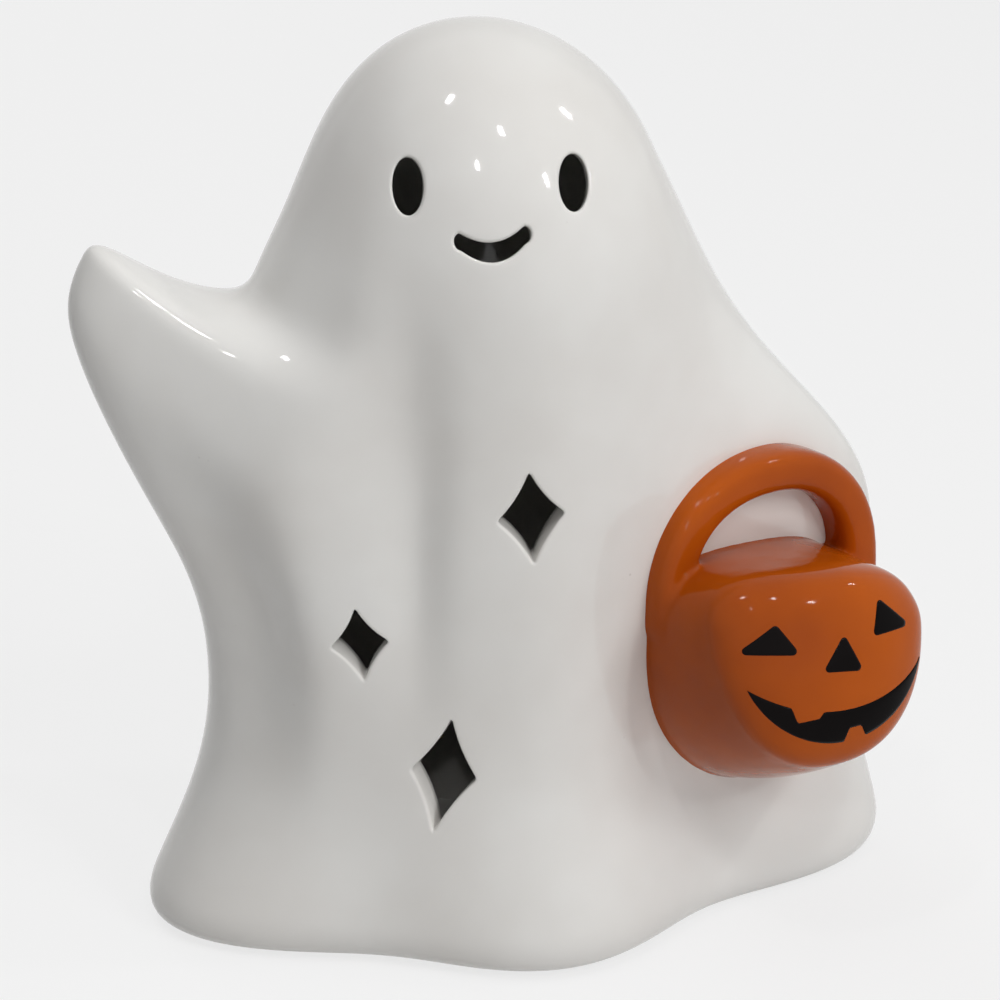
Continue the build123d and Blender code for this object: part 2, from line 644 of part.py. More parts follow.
def contact(side, rows, tail):
    """Sheet contact on an end wall: a plate, a bowed leaf for each cell, and a tail where it has one."""
    wall = BAY_HALF_LENGTH
    low = CELL_LEVEL - CONTACT_HEIGHT / 2
    high = CELL_LEVEL + CONTACT_HEIGHT / 2
    first = min(rows) - CONTACT_WIDTH / 2
    last = max(rows) + CONTACT_WIDTH / 2
    plate = block(wall - CONTACT_SHEET, wall, first, last, low, high)
    reach = CONTACT_ROOM - CONTACT_TOUCH_GAP
    outer = [(wall, low), (wall - reach, CELL_LEVEL), (wall, high)]
    inner = [(wall, high - 2 * CONTACT_SHEET), (wall - reach + CONTACT_SHEET, CELL_LEVEL),
             (wall, low + 2 * CONTACT_SHEET)]
    leaf = make_face(Polyline(*outer, *inner, close=True))
    for row in rows:
        stand = Plane(origin=(0, row + CONTACT_WIDTH / 2, 0), x_dir=(1, 0, 0), z_dir=(0, -1, 0))
        plate += extrude(stand * leaf, CONTACT_WIDTH)
    if tail:
        row = rows[0]
        half = TAIL_WIDTH / 2
        plate += block(wall - CONTACT_SHEET, wall, row - half, row + half, high, BOARD_TOP)
    return plate if side > 0 else Rot(0, 0, 180) * plate


def led_board():
    """Round board on the deck's stands, cleared for the cover's posts."""
    board = disc(BOARD_RADIUS, BOARD_BOTTOM, BOARD_TOP)
    for angle in POST_ANGLES:
        board -= Pos(*on_circle(POST_CIRCLE, angle)) * disc(POST_RADIUS + FIT_GAP, BOARD_BOTTOM, BOARD_TOP)
    for hole in screw_holes(BOARD_SCREW_CIRCLE, BOARD_SCREW_ANGLES, BOARD_BOTTOM, BOARD_TOP):
        board -= hole
    for slot in tail_slots(BOARD_BOTTOM, BOARD_TOP):
        board -= slot
    for x in lead_places():
        board -= Pos(x, SWITCH_PLACE) * disc(LEAD_RADIUS + LEAD_HOLE_GAP, BOARD_BOTTOM, BOARD_TOP)
    for place in places_round(LED_CIRCLE):
        for x in led_pins():
            half = LED_PIN / 2 + LEAD_HOLE_GAP
            board -= place * block(x - half, x + half, -half, half, BOARD_BOTTOM, BOARD_TOP)
    return board


def places_round(circle):
    """Places on a circle, one for each lamp, turned to face the axis."""
    angles = [360 * (i + 0.5) / LED_COUNT for i in range(LED_COUNT)]
    return [Pos(*on_circle(circle, angle)) * Rot(0, 0, angle + 90) for angle in angles]


def led_pins():
    return (-LED_PIN_SPACING / 2, LED_PIN_SPACING / 2)


def leds():
    """Round lamps that stand on their pins and reach through the cover."""
    foot = BOARD_TOP + LED_STAND
    straight = foot + LED_HEIGHT - LED_RADIUS
    lamp = disc(LED_RIM_RADIUS, foot, foot + LED_RIM_HEIGHT) + disc(LED_RADIUS, foot, straight)
    lamp += Pos(0, 0, straight) * Sphere(LED_RADIUS)
    for x in led_pins():
        half = LED_PIN / 2
        lamp += block(x - half, x + half, -half, half, BOARD_BOTTOM, foot)
    return Compound(children=[place * lamp for place in places_round(LED_CIRCLE)])


def timer_chip():
    """Small eight-legged chip in the middle of the board."""
    long, wide, tall = CHIP_SIZE
    leg_width, leg_reach, leg_height = CHIP_LEG
    chip = block(-long / 2, long / 2, -wide / 2, wide / 2, BOARD_TOP, BOARD_TOP + tall)
    for i in range(CHIP_LEG_ROWS):
        x = (i - (CHIP_LEG_ROWS - 1) / 2) * CHIP_LEG_PITCH
        half = wide / 2 + leg_reach
        chip += block(x - leg_width / 2, x + leg_width / 2, -half, half, BOARD_TOP, BOARD_TOP + leg_height)
    return chip


def resistors():
    """One chip outside each lamp."""
    long, wide, tall = RESISTOR_SIZE
    chip = block(-long / 2, long / 2, -wide / 2, wide / 2, BOARD_TOP, BOARD_TOP + tall)
    circle = LED_CIRCLE + LED_RIM_RADIUS + RESISTOR_GAP
    return Compound(children=[place * chip for place in places_round(circle)])


def screws(circle, angles, seat):
    """Slotted screws whose heads rest at the seat level."""
    slot = block(-2 * SCREW_HEAD_RADIUS, 2 * SCREW_HEAD_RADIUS, -SCREW_SLOT_WIDTH / 2, SCREW_SLOT_WIDTH / 2,
                 seat + SCREW_HEAD_HEIGHT - SCREW_SLOT_DEPTH, seat + SCREW_HEAD_HEIGHT)
    screw = disc(SCREW_HEAD_RADIUS, seat, seat + SCREW_HEAD_HEIGHT) - slot
    screw += disc(SCREW_RADIUS, seat - SCREW_LENGTH, seat)
    places = [Pos(*on_circle(circle, angle)) * Rot(0, 0, angle) for angle in angles]
    return Compound(children=[place * screw for place in places])


def base_cover():
    """Lid of the light unit, with a skirt inside the cup and a hole for each lamp."""
    skirt_radius = CUP_INSIDE - COVER_SKIRT_GAP
    cover = disc(CUP_RADIUS, CUP_TOP, COVER_TOP)
    skirt = disc(skirt_radius, CUP_TOP - COVER_SKIRT, CUP_TOP)
    skirt -= disc(skirt_radius - COVER_SKIRT_WALL, CUP_TOP - COVER_SKIRT, CUP_TOP)
    for angle in POST_ANGLES:
        post_room = disc(POST_RADIUS + FIT_GAP, CUP_TOP - COVER_SKIRT, CUP_TOP)
        skirt -= Pos(*on_circle(POST_CIRCLE, angle)) * post_room
    cover += skirt
    for place in places_round(LED_CIRCLE):
        cover -= place * disc(LED_RADIUS + LED_HOLE_GAP, CUP_TOP, COVER_TOP)
    for hole in screw_holes(POST_CIRCLE, POST_ANGLES, CUP_TOP, COVER_TOP):
        cover -= hole
    return cover


def switch_body():
    """Can of the slide switch, on top of the flange, with a track for the knob's shoe."""
    long, wide, tall = SWITCH_SIZE
    shoe_long, shoe_wide, shoe_tall = KNOB_SHOE
    can = block(-long / 2, long / 2, -wide / 2, wide / 2, FLANGE_TOP, FLANGE_TOP + tall)
    half = (shoe_long + SWITCH_TRAVEL) / 2 + SWITCH_GAP
    deep = shoe_wide / 2 + SWITCH_GAP
    can -= block(-half, half, -deep, deep, FLANGE_TOP, FLANGE_TOP + shoe_tall + 2 * SWITCH_GAP)
    return Pos(0, SWITCH_PLACE) * can


def switch_knob():
    """Slider at the off end of its travel: a shoe in the switch and a grip below the flange."""
    long, wide, tall = KNOB_SHOE
    shoe_bottom = FLANGE_TOP + SWITCH_GAP
    knob = block(-long / 2, long / 2, -wide / 2, wide / 2, shoe_bottom, shoe_bottom + tall)
    knob += block(-KNOB_LENGTH / 2, KNOB_LENGTH / 2, -KNOB_WIDTH / 2, KNOB_WIDTH / 2,
                  FLANGE_BOTTOM - KNOB_PROUD, shoe_bottom)
    return Pos(SWITCH_REST_X, SWITCH_PLACE) * knob


def lead_places():
    return [(i - (LEAD_COUNT - 1) / 2) * LEAD_SPACING for i in range(LEAD_COUNT)]


def switch_leads():
    """Stiff leads from the switch straight up to the board."""
    top = FLANGE_TOP + SWITCH_SIZE[2]
    lead = disc(LEAD_RADIUS, top, BOARD_TOP)
    return Compound(children=[Pos(x, SWITCH_PLACE) * lead for x in lead_places()])


def build():
    """All pieces by name."""
    outside = shell_solid(0, 0)
    pail, glaze = pumpkin_pail(outside)
    first, middle, last = CELL_ROWS[0], CELL_ROWS[len(CELL_ROWS) // 2], CELL_ROWS[-1]
    return {
        "ghost_body": ghost_body(outside),
        "pumpkin_pail": pail,
        "pail_face_glaze": glaze,
        "foot_pads": foot_pads(),
        "base_gasket": base_gasket(),
        "light_base": light_base(),
        "base_cover": base_cover(),
        "cover_screws": screws(POST_CIRCLE, POST_ANGLES, COVER_TOP),
        "led_board": led_board(),
        "board_screws": screws(BOARD_SCREW_CIRCLE, BOARD_SCREW_ANGLES, BOARD_TOP),
        "leds": leds(),
        "timer_chip": timer_chip(),
        "resistors": resistors(),
        "battery_cells": battery_cells(),
        "contact_negative": contact(-1, [-first], True),
        "contact_bridge_left": contact(-1, [-middle, -last], False),
        "contact_bridge_right": contact(1, [first, middle], False),
        "contact_positive": contact(1, [last], True),
        "switch_body": switch_body(),
        "switch_knob": switch_knob(),
        "switch_leads": switch_leads(),
        "battery_door": battery_door(),
    }


def plan_middle(pieces):
    """Middle of the box round the figure and its pail, seen from above."""
    boxes = [pieces[name].bounding_box() for name in ("ghost_body", "pumpkin_pail")]
    x = (min(b.min.X for b in boxes) + max(b.max.X for b in boxes)) / 2
    y = (min(b.min.Y for b in boxes) + max(b.max.Y for b in boxes)) / 2
    return x, y


def standing(piece, middle):
    """The piece moved so that the plan's middle is the origin and the foot pads rest at level 0."""
    moved = [Pos(-middle[0], -middle[1], PAD_THICKNESS) * solid for solid in piece.solids()]
    return moved[0] if len(moved) == 1 else Compound(children=moved)


os.makedirs("parts", exist_ok=True)
figure = build()
plan = plan_middle(figure)
for name, piece in figure.items():
    export_step(standing(piece, plan), f"parts/{name}.step")
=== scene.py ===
import bpy
import numpy as np
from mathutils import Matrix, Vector


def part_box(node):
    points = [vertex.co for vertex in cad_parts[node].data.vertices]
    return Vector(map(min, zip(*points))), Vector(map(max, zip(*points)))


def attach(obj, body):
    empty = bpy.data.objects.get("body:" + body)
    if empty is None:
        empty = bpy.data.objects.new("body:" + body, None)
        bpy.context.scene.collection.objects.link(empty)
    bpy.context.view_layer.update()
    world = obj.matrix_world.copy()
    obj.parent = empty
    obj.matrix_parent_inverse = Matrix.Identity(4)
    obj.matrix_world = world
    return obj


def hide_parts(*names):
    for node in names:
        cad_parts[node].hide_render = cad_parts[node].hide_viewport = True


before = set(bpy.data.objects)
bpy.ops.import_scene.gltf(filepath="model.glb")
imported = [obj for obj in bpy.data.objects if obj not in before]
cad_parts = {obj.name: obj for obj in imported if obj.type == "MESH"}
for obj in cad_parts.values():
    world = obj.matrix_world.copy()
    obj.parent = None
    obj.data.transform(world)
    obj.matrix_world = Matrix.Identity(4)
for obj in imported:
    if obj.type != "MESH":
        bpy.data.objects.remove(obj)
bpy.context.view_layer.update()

bl_info = {
    "name": "Ceramic ghost light",
    "version": (1, 0, 0),
    "blender": (4, 5, 0),
    "location": "View3D > Sidebar > Ghost",
    "description": "Glazed ceramic ghost with a pumpkin pail and a battery light in its foot",
    "category": "Object",
}

# Lengths are metres, and the tables below are written in millimetres
MM = 0.001
FIGURE = "figure"


def node_middle(node):
    """Middle of a node's box."""
    low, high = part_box(node)
    return (np.array(low) + np.array(high)) / 2


# The light unit's axis at the level of the ceramic foot: places in the tables start from it
FOOT_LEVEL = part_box("foot_pads")[1].z
PLACE = np.array([*node_middle("base_cover")[:2], FOOT_LEVEL])

# Ceramic shell
HEIGHT = 200 * MM
WALL = 6 * MM
DOME_START = 140 * MM
DOME_POWER = 2.4
HEM_ROUND = 9 * MM
HEM_TUCK = 5.4 * MM
BODY_TURN = np.radians(9)
# level, half width, half depth, shift sideways
TRUNK = np.array([
    (0, 61, 46, 4.0),
    (25, 57, 42, 1.5),
    (60, 54, 41, 0.0),
    (100, 52, 40, -0.5),
    (140, 43, 39, 1.5),
    (200, 42, 37, -2.5),
]) * MM
# level, how far the raised arm is drawn out of the trunk
ARM = np.array([
    (0, 17.0), (30, 10.5), (58, 9.5), (80, 16.0), (96, 30.0), (106, 38.5), (114, 40.0),
    (121, 39.4), (128, 34.8), (136, 16.8), (146, 9.0), (160, 5.0), (200, 0.0),
]) * MM
ARM_SHARPNESS = 5.0
ARM_LIFT = 41 * MM
ARM_LIFT_REACH = 44 * MM
ARM_LIFT_POWER = 1.8
ARM_LIFT_FROM = (40 * MM, 80 * MM)
ARM_LIFT_TO = (HEIGHT - 50 * MM, HEIGHT - 20 * MM)
# level, how far the sleeve behind the pail is drawn out of the trunk
SLEEVE = np.array([
    (0, 17.0), (30, 28.0), (60, 35.0), (85, 37.0), (100, 31.0), (120, 17.5), (145, 5.5),
    (170, 0.0), (200, 0.0),
]) * MM
SLEEVE_SHARPNESS = 6.0
HOLLOW_REACH = 0.7
# angle, level, swell in millimetres, spread in degrees, half height in millimetres
FOLDS = [
    (-89, 0, 12, 30, 34),
    (-156, 0, 14, 26, 28),
    (-20, 0, 16, 22, 30),
    (55, 0, 6, 30, 30),
    (122, 0, 7, 30, 30),
]
# Softer folds of the drape, on the outer face alone
DRAPE = [
    (-157, 80, -3.8, 11, 36),
    (-138, 92, 2.8, 8, 48),
    (-124, 124, -2.6, 8, 18),
    (-116, 94, -4.0, 8, 32),
    (-86, 80, 1.6, 13, 60),
    (-57, 46, -2.6, 13, 24),
]

# Foot
SEAT_RADIUS = 38.5 * MM
SEAT_LEVEL = 5.2 * MM
HOLE_RADIUS = 33 * MM
HOLLOW_FLOOR = 11.2 * MM
FOOT_EDGE = 0.6 * MM

# Grid of the shell
COLUMNS = 208
DOME_ROWS = 54
TRUNK_ROWS = 118
HEM_ROWS = 10
INNER_DOME_ROWS = 36
FOOT_STEPS = (0.3, 0.6, 0.85)
# Slots of the shell's faces
GLAZED = 0
BARE = 1

# Cut-outs
FACE_SHIFT = -0.5 * MM
FACE_PITCH = 20
EYE_SPACING = 33.9 * MM
EYE_LEVEL = 174.8 * MM
EYE_WIDTH = 6.3 * MM
EYE_HEIGHT = 11.9 * MM
MOUTH_LEVEL = 163.6 * MM
MOUTH_TURN = 5
MOUTH_WIDTH = 15.8 * MM
MOUTH_OPENING = 4.1 * MM
MOUTH_CURVE = 2.6 * MM
MOUTH_UPPER_IN = 1.3 * MM
MOUTH_LOWER_IN = 1.2 * MM
MOUTH_TIP_DROP = 1.6 * MM
MOUTH_END_HEIGHT = 3.5 * MM
# sideways, level, width, height, turn in the face, direction of the cut
DIAMONDS = [
    (7.2, 103.5, 14.6, 21.0, 3.0, 0.0),
    (-29.9, 73.5, 12.6, 17.5, 6.0, -8.0),
    (-11.5, 44.0, 14.2, 26.6, -6.0, -24.0),
]
DIAMOND_WAIST = 0.7 * MM
DIAMOND_POINTS = 40
TIP_ROUNDS = 2
CURVE_POINTS = 60
MOUTH_END_POINTS = 20
ROUGH_POINTS = 24
NEWTON_STEPS = 12
NEWTON_NUDGE = 1e-5
WINDOW_MARGIN = 2
SURFACE_RINGS = (0.16, 0.34, 0.55, 0.78)
EDGE_TURNS = np.radians((0, 18, 36, 54, 72, 90))
WALL_STEPS = (0.35, 0.7)
INNER_EDGE = 0.5 * MM

# Pumpkin pail, in its own plane: sideways, up, out
PAIL_CENTRE = np.array((59.6, -14.3, 70.0)) * MM
PAIL_YAW = 20
PAIL_PITCH = 20
PAIL_ROLL = 2
PAIL_HALF_WIDTH = 30.3 * MM
PAIL_DROP = 40.5 * MM
PAIL_RISE = 20 * MM
PAIL_RIM = 15.4 * MM
PAIL_RIM_TIP = np.tan(np.radians(9.6))
PAIL_RIM_ROLL = np.tan(np.radians(-8))
PAIL_SQUARENESS = 2.25
PAIL_BACK = -24 * MM
PAIL_TAPER_FROM = -14 * MM
PAIL_CREASE = 26 * MM
PAIL_CREASE_SHARE = 0.85
PAIL_BULGE = 11.5 * MM
RIM_SOFTNESS = 4 * MM
PAIL_SHOULDER = 0.32
PAIL_SHOULDER_FROM = -8 * MM
PAIL_SHOULDER_TO = 16 * MM
PAIL_SHOULDER_SIDE = (-8 * MM, 16 * MM)
RIM_STEPS = 12
FLARE_STEPS = 3
PAIL_COLUMNS = 180
PAIL_SIDE_ROWS = 60
PAIL_FRONT_ROWS = 44
PAIL_SUNK = 3 * MM
HANDLE_FOOT = np.array((58.8, -13.0, 76.5)) * MM
HANDLE_YAW = 30
HANDLE_PITCH = 5
HANDLE_STAND_OFF = 2 * MM
HANDLE_HALF_SPAN = 26 * MM
HANDLE_RISE = 24.6 * MM
HANDLE_LEG = 9 * MM
HANDLE_ARCH = 2.2
HANDLE_SQUARENESS = 3.6
HANDLE_ARCH_POINTS = 400
HANDLE_RINGS = 120
HANDLE_SIDES = 40
HANDLE_END = 5 * MM
HANDLE_TIP = 0.1 * MM
FLARE_END = 0.75
REMESH_CELL = 0.55 * MM
REMESH_SMOOTHING = 22
REMESH_SOFTENING = 0.5
# Table of the shell's radius: steps of level, steps of direction, points in a ring that it is read from
TABLE_LEVELS = 100
TABLE_TURNS = 360
TABLE_RING = 720
TABLE_MARGIN = 0.001

# Black face of the pail: corners in the pail's own plane, teeth as place, width and tip, in millimetres
PAIL_LEFT_EYE = [(-22.8, -4.6), (-9.4, -7.3), (-13.8, 0.4)]
PAIL_RIGHT_EYE = [(8.0, -7.0), (19.0, -7.0), (10.8, 1.0)]
PAIL_NOSE = [(-5.2, -12.0), (4.7, -13.7), (0.9, -4.7)]
CORNER_ROUND = 0.9 * MM
GRIN_LEFT = (-21.0, -12.7)
GRIN_RIGHT = (21.8, -15.0)
GRIN_TOP = (2.0, -21.4)
GRIN_BOTTOM = (2.0, -28.6)
TOOTH_UPPER = (-9.0, 6.0, -21.9)
TOOTH_LOWER = (2.0, 4.2, -25.7)
TOOTH_SLOPE = 0.8 * MM
GRIN_STATIONS = 150
GRIN_STEPS = 12
PATCH_RINGS = 10
PATCH_ARC = 10
PATCH_SIDES = 120
PATCH_DOME = 6
GLAZE_SUNK = 0.7 * MM

# Camera: taken from the photograph's viewing angle
CAMERA_AZIMUTH = np.radians(-4)
CAMERA_ELEVATION = np.radians(24)
CAMERA_DISTANCE = 700 * MM
CAMERA_TARGET = np.array((3.40, 0.54, 89.83)) * MM
CAMERA_SPAN = 223.57 * MM
SENSOR = 36

# Stage: the floor lies just under the pads
FLOOR_HALF = 1.6
FLOOR_DEPTH = 1.2
FLOOR_LEVEL = -0.1 * MM
FLOOR_WHITE = 0.76
BACKDROP_RISE = 1.6
BACKDROP_ROUND = 0.5
BACKDROP_STEPS = 24
WORLD_LIGHT = 0.10
# name, place, size across and along, power in watts, whether the glaze mirrors it
LIGHTS = [
    ("key softbox", (0.95, -0.75, 1.05), (0.5, 0.5), 5.0, False),
    ("front softbox", (0.80, -1.30, 0.22), (0.6, 0.4), 4.0, False),
    ("fill softbox", (-1.1, -0.7, 0.9), (1.0, 1.0), 0.4, False),
    ("top softbox", (0.0, -0.1, 1.4), (1.0, 0.8), 4.8, False),
    ("back softbox", (-0.6, 1.3, 0.9), (1.0, 1.0), 6.0, False),
    ("lamp brow", (-0.35, -0.43, 1.48), (0.05, 0.14), 1.8, True),
    ("lamp right", (1.07, -0.03, 1.13), (0.06, 0.12), 1.8, True),
    ("lamp front", (-0.10, -1.17, 1.01), (0.04, 0.09), 0.9, True),
    ("lamp arm", (0.30, -0.83, 1.28), (0.06, 0.12), 1.5, True),
    ("lamp side", (0.87, -0.94, 0.85), (0.05, 0.12), 1.3, True),
]
LIGHT_AIM = (0.0, 0.0, 0.09)

# Finishes
GLAZE_POOLS = (0.36, 0.64)
GLAZE_ROUGHNESS = (0.10, 0.03)
GLAZE_RIPPLE = 0.6 * MM
WIPED_FROM = FOOT_LEVEL + 0.2 * MM
WIPED_TO = FOOT_LEVEL + 1.1 * MM
WIPED_ROUGHNESS = 0.8
CELL_BAND_FROM = 9 * MM
CELL_BAND_EDGE = 0.3 * MM
LAMP_PINS_END = (4.9 * MM, 5.1 * MM)
TINNED = (0.5, 0.5, 0.48)
# Sockets of a Mix node that mixes colours: factor, first, second and result
MIX_INPUTS = (0, 6, 7)
MIX_RESULT = 2


# Shapes

def natural_spline(table, column):
    """Cubic through one column of a table of stations, straight at both ends, for arrays of levels."""
    station = table[:, 0]
    value = table[:, column]
    step = np.diff(station)
    slope = np.diff(value) / step
    count = len(station)
    inner = np.arange(1, count - 1)
    system = np.eye(count)
    system[inner, inner - 1] = step[:-1]
    system[inner, inner] = 2 * (step[:-1] + step[1:])
    system[inner, inner + 1] = step[1:]
    bend = np.zeros(count)
    bend[inner] = 6 * np.diff(slope)
    moment = np.linalg.solve(system, bend)

    def at(level):
        """Value at each level."""
        level = np.clip(level, station[0], station[-1])
        j = np.clip(np.searchsorted(station, level, side="right") - 1, 0, count - 2)
        d = level - station[j]
        first = slope[j] - step[j] * (2 * moment[j] + moment[j + 1]) / 6
        third = (moment[j + 1] - moment[j]) / (6 * step[j])
        return value[j] + d * first + d**2 * moment[j] / 2 + d**3 * third

    return at


trunk_width = natural_spline(TRUNK, 1)
trunk_depth = natural_spline(TRUNK, 2)
trunk_shift = natural_spline(TRUNK, 3)
arm_reach = natural_spline(ARM, 1)
sleeve_reach = natural_spline(SLEEVE, 1)


def smooth_step(value, low, high):
    """0 below low, 1 above high, and an even rise between them."""
    t = np.clip((value - low) / (high - low), 0, 1)
    return t * t * (3 - 2 * t)


def fold_swell(angle, level, folds):
    """Sum of bumps, each a bell round its angle times a bell round its level."""
    swell = np.zeros(np.broadcast(angle, level).shape)
    for place, height, depth, spread, tall in folds:
        away = np.angle(np.exp(1j * (angle - np.radians(place))))
        round_angle = np.exp(-(away / np.radians(spread))**2)
        swell += depth * MM * round_angle * np.exp(-((level - height * MM) / (tall * MM))**2)
    return swell


def dome_closing(level, top):
    """Share of the trunk's width that is left at a level of the dome."""
    dome = np.clip((level - DOME_START) / (top - DOME_START), 0, 1)
    return np.sqrt(1 - dome**DOME_POWER)


def front_depth(level):
    """Depth of the shell's front from the axis at one level."""
    return trunk_depth(level) * dome_closing(level, HEIGHT)


def shell_surface(angle, level, wall, softness=1.0):
    """Face of the shell: an oval that closes in a dome, drawn out into an arm and a sleeve.

    Half the width and depth follow the trunk's stations and shrink with the root of one minus a power of
    the way up the dome. The arm and the sleeve pull points sideways by a power of the cosine of the angle,
    and the arm lifts them by a power of its pull. Folds swell the hem. The whole is turned a little about
    the axis.
    """
    outer = wall == 0
    closing = dome_closing(level, HEIGHT - wall)
    under = np.clip(1 - level / HEM_ROUND, 0, 1) if outer else np.zeros_like(level)
    tuck = HEM_TUCK * (1 - np.sqrt(1 - under**2))
    fold = fold_swell(angle, level, FOLDS)
    if outer:
        fold = fold + softness * fold_swell(angle, level, DRAPE)
    share = 1.0 if outer else HOLLOW_REACH
    arm = share * np.maximum(arm_reach(level), 0) * np.clip(-np.cos(angle), 0, 1)**ARM_SHARPNESS
    sleeve = share * np.maximum(sleeve_reach(level), 0) * np.clip(np.cos(angle), 0, 1)**SLEEVE_SHARPNESS
    lift = ARM_LIFT * smooth_step(level, *ARM_LIFT_FROM) * (1 - smooth_step(level, *ARM_LIFT_TO))
    half_width = (trunk_width(level) - wall) * closing - tuck + fold
    half_depth = (trunk_depth(level) - wall) * closing - tuck + fold
    x = trunk_shift(level) + half_width * np.cos(angle) - arm + sleeve
    y = half_depth * np.sin(angle)
    z = level + lift * (arm / ARM_LIFT_REACH)**ARM_LIFT_POWER
    turned = [x * np.cos(BODY_TURN) - y * np.sin(BODY_TURN), x * np.sin(BODY_TURN) + y * np.cos(BODY_TURN), z]
    return np.stack(np.broadcast_arrays(*turned), -1) + PLACE


def upright_axes(yaw, pitch=0.0, roll=0.0):
    """Sideways, up and out of a plane that looks along -Y, turned by yaw, tipped by pitch and rolled."""
    a, e, r = np.radians((yaw, pitch, roll))
    out = np.array((np.sin(a) * np.cos(e), -np.cos(a) * np.cos(e), np.sin(e)))
    side = np.array((np.cos(a), np.sin(a), 0.0))
    up = np.cross(out, side)
    side, up = side * np.cos(r) + up * np.sin(r), up * np.cos(r) - side * np.sin(r)
    return side, up, out


def resample(line, count):
    """Points at even steps of length along a dense line, without its last point."""
    run = np.r_[0, np.cumsum(np.linalg.norm(np.diff(line, axis=0), axis=1))]
    at = np.linspace(0, run[-1], count, endpoint=False)
    return np.stack([np.interp(at, run, line[:, i]) for i in range(2)], -1)


def closed_outline(upper, lower, count):
    """Outline from its right tip round by the top, from two dense lines of its right half."""
    mirror = np.array((-1, 1))
    quarters = [upper, (upper * mirror)[::-1], (lower * mirror)[::-1], lower]
    return np.concatenate([resample(quarter, count) for quarter in quarters])


def diamond_outline(width, height, count):
    """Four sides between tips, each bowed inwards by a parabola, with the tips rounded by averaging."""
    t = np.linspace(0, 1, DIAMOND_POINTS)[:, None]
    bow = 4 * t * (1 - t) * DIAMOND_WAIST
    right, top = np.array((width / 2, 0)), np.array((0, height / 2))
    inwards = -np.array((height, width)) / np.hypot(width, height)
    upper = (1 - t) * right + t * top + bow * inwards
    lower = (upper * np.array((1, -1)))[::-1]
    outline = closed_outline(upper, lower, count)
    for _ in range(TIP_ROUNDS):
        outline = (np.roll(outline, 1, 0) + 2 * outline + np.roll(outline, -1, 0)) / 4
    return outline


def eye_outline(count):
    """Upright ellipse."""
    turn = np.linspace(0, np.pi / 2, CURVE_POINTS)
    upper = np.stack([EYE_WIDTH / 2 * np.cos(turn), EYE_HEIGHT / 2 * np.sin(turn)], -1)
    lower = (upper * np.array((1, -1)))[::-1]
    return closed_outline(upper, lower, count)


def mouth_outline(count):
    """Smile between two parabolas, with elliptical ends."""
    half = MOUTH_WIDTH / 2
    turn = np.linspace(0, np.pi / 2, MOUTH_END_POINTS)
    top = half - MOUTH_UPPER_IN
    end = np.stack([top + MOUTH_UPPER_IN * np.cos(turn),
                    MOUTH_CURVE + MOUTH_TIP_DROP * (np.sin(turn) - 1)], -1)
    x = np.linspace(top, 0, CURVE_POINTS)
    upper = np.concatenate([end, np.stack([x, MOUTH_CURVE * (x / top)**2], -1)[1:]])
    low = half - MOUTH_LOWER_IN
    corner = MOUTH_CURVE - MOUTH_END_HEIGHT
    x = np.linspace(0, low, CURVE_POINTS)
    curve = np.stack([x, (corner + MOUTH_OPENING) * (x / low)**2 - MOUTH_OPENING], -1)
    tip_height = MOUTH_END_HEIGHT - MOUTH_TIP_DROP
    end = np.stack([low + MOUTH_LOWER_IN * np.sin(turn), corner + tip_height * (1 - np.cos(turn))], -1)
    return closed_outline(upper, np.concatenate([curve, end[1:]]), count)


def outline_normals(outline):
    """Unit normals that point out of a closed outline."""
    along = np.roll(outline, -1, 0) - np.roll(outline, 1, 0)
    normal = np.stack([along[:, 1], -along[:, 0]], -1)
    return normal / np.linalg.norm(normal, axis=1)[:, None]


def meet_surface(surface, start, side, up, outline):
    """Angle and level where lines square to the plane of an outline meet a face, by Newton's steps."""
    aim = start + outline[:, :1] * side + outline[:, 1:] * up
    angle = np.full(len(outline), -np.pi / 2)
    level = aim[:, 2] - PLACE[2]
    for _ in range(NEWTON_STEPS):
        here = surface(angle, level)
        off = here - aim
        by_angle = (surface(angle + NEWTON_NUDGE, level) - here) / NEWTON_NUDGE
        by_level = (surface(angle, level + NEWTON_NUDGE) - here) / NEWTON_NUDGE
        a, b, c, d = by_angle @ side, by_level @ side, by_angle @ up, by_level @ up
        e, f = off @ side, off @ up
        share = a * d - b * c
        angle = angle - (d * e - b * f) / share
        level = level - (a * f - c * e) / share
    return angle, level


def window_frame(wide, tall):
    """Column and row steps round a rectangle of cells, from the middle of its right side, upwards."""
    across = np.r_[np.full(tall, wide), np.arange(wide, -wide, -1), np.full(tall, -wide)]
    upwards = np.r_[np.arange(tall), np.full(2 * wide, tall), np.arange(tall, 0, -1)]
    return np.r_[across, -across], np.r_[upwards, -upwards]


def cut_outs():
    """Each cut-out as its outline's function, the place of its plane on the axis and the plane's axes."""
    cuts = []

    def add(outline, x, level, turn, yaw, pitch):
        """Adds a cut that meets the front at a place sideways and a level."""
        away = np.tan(np.radians((yaw, pitch))) * front_depth(level)
        place = PLACE + np.array((x - away[0], 0, level - away[1]))
        cuts.append((outline, place, upright_axes(yaw, pitch, turn)))

    for side in (-1, 1):
        add(eye_outline, FACE_SHIFT + side * EYE_SPACING / 2, EYE_LEVEL, 0, 0, FACE_PITCH)
    add(mouth_outline, FACE_SHIFT, MOUTH_LEVEL, MOUTH_TURN, 0, FACE_PITCH)
    for x, level, width, height, turn, yaw in DIAMONDS:

        def outline(count, width=width, height=height):
            """Outline of this diamond."""
            return diamond_outline(width * MM, height * MM, count)

        add(outline, x * MM, level * MM, turn, yaw, 0)
    return cuts


def band_faces(first, second):
    """Quads between two closed loops of as many points, the first loop nearer to the outside."""
    return np.stack([first, np.roll(first, -1), np.roll(second, -1), second], -1)


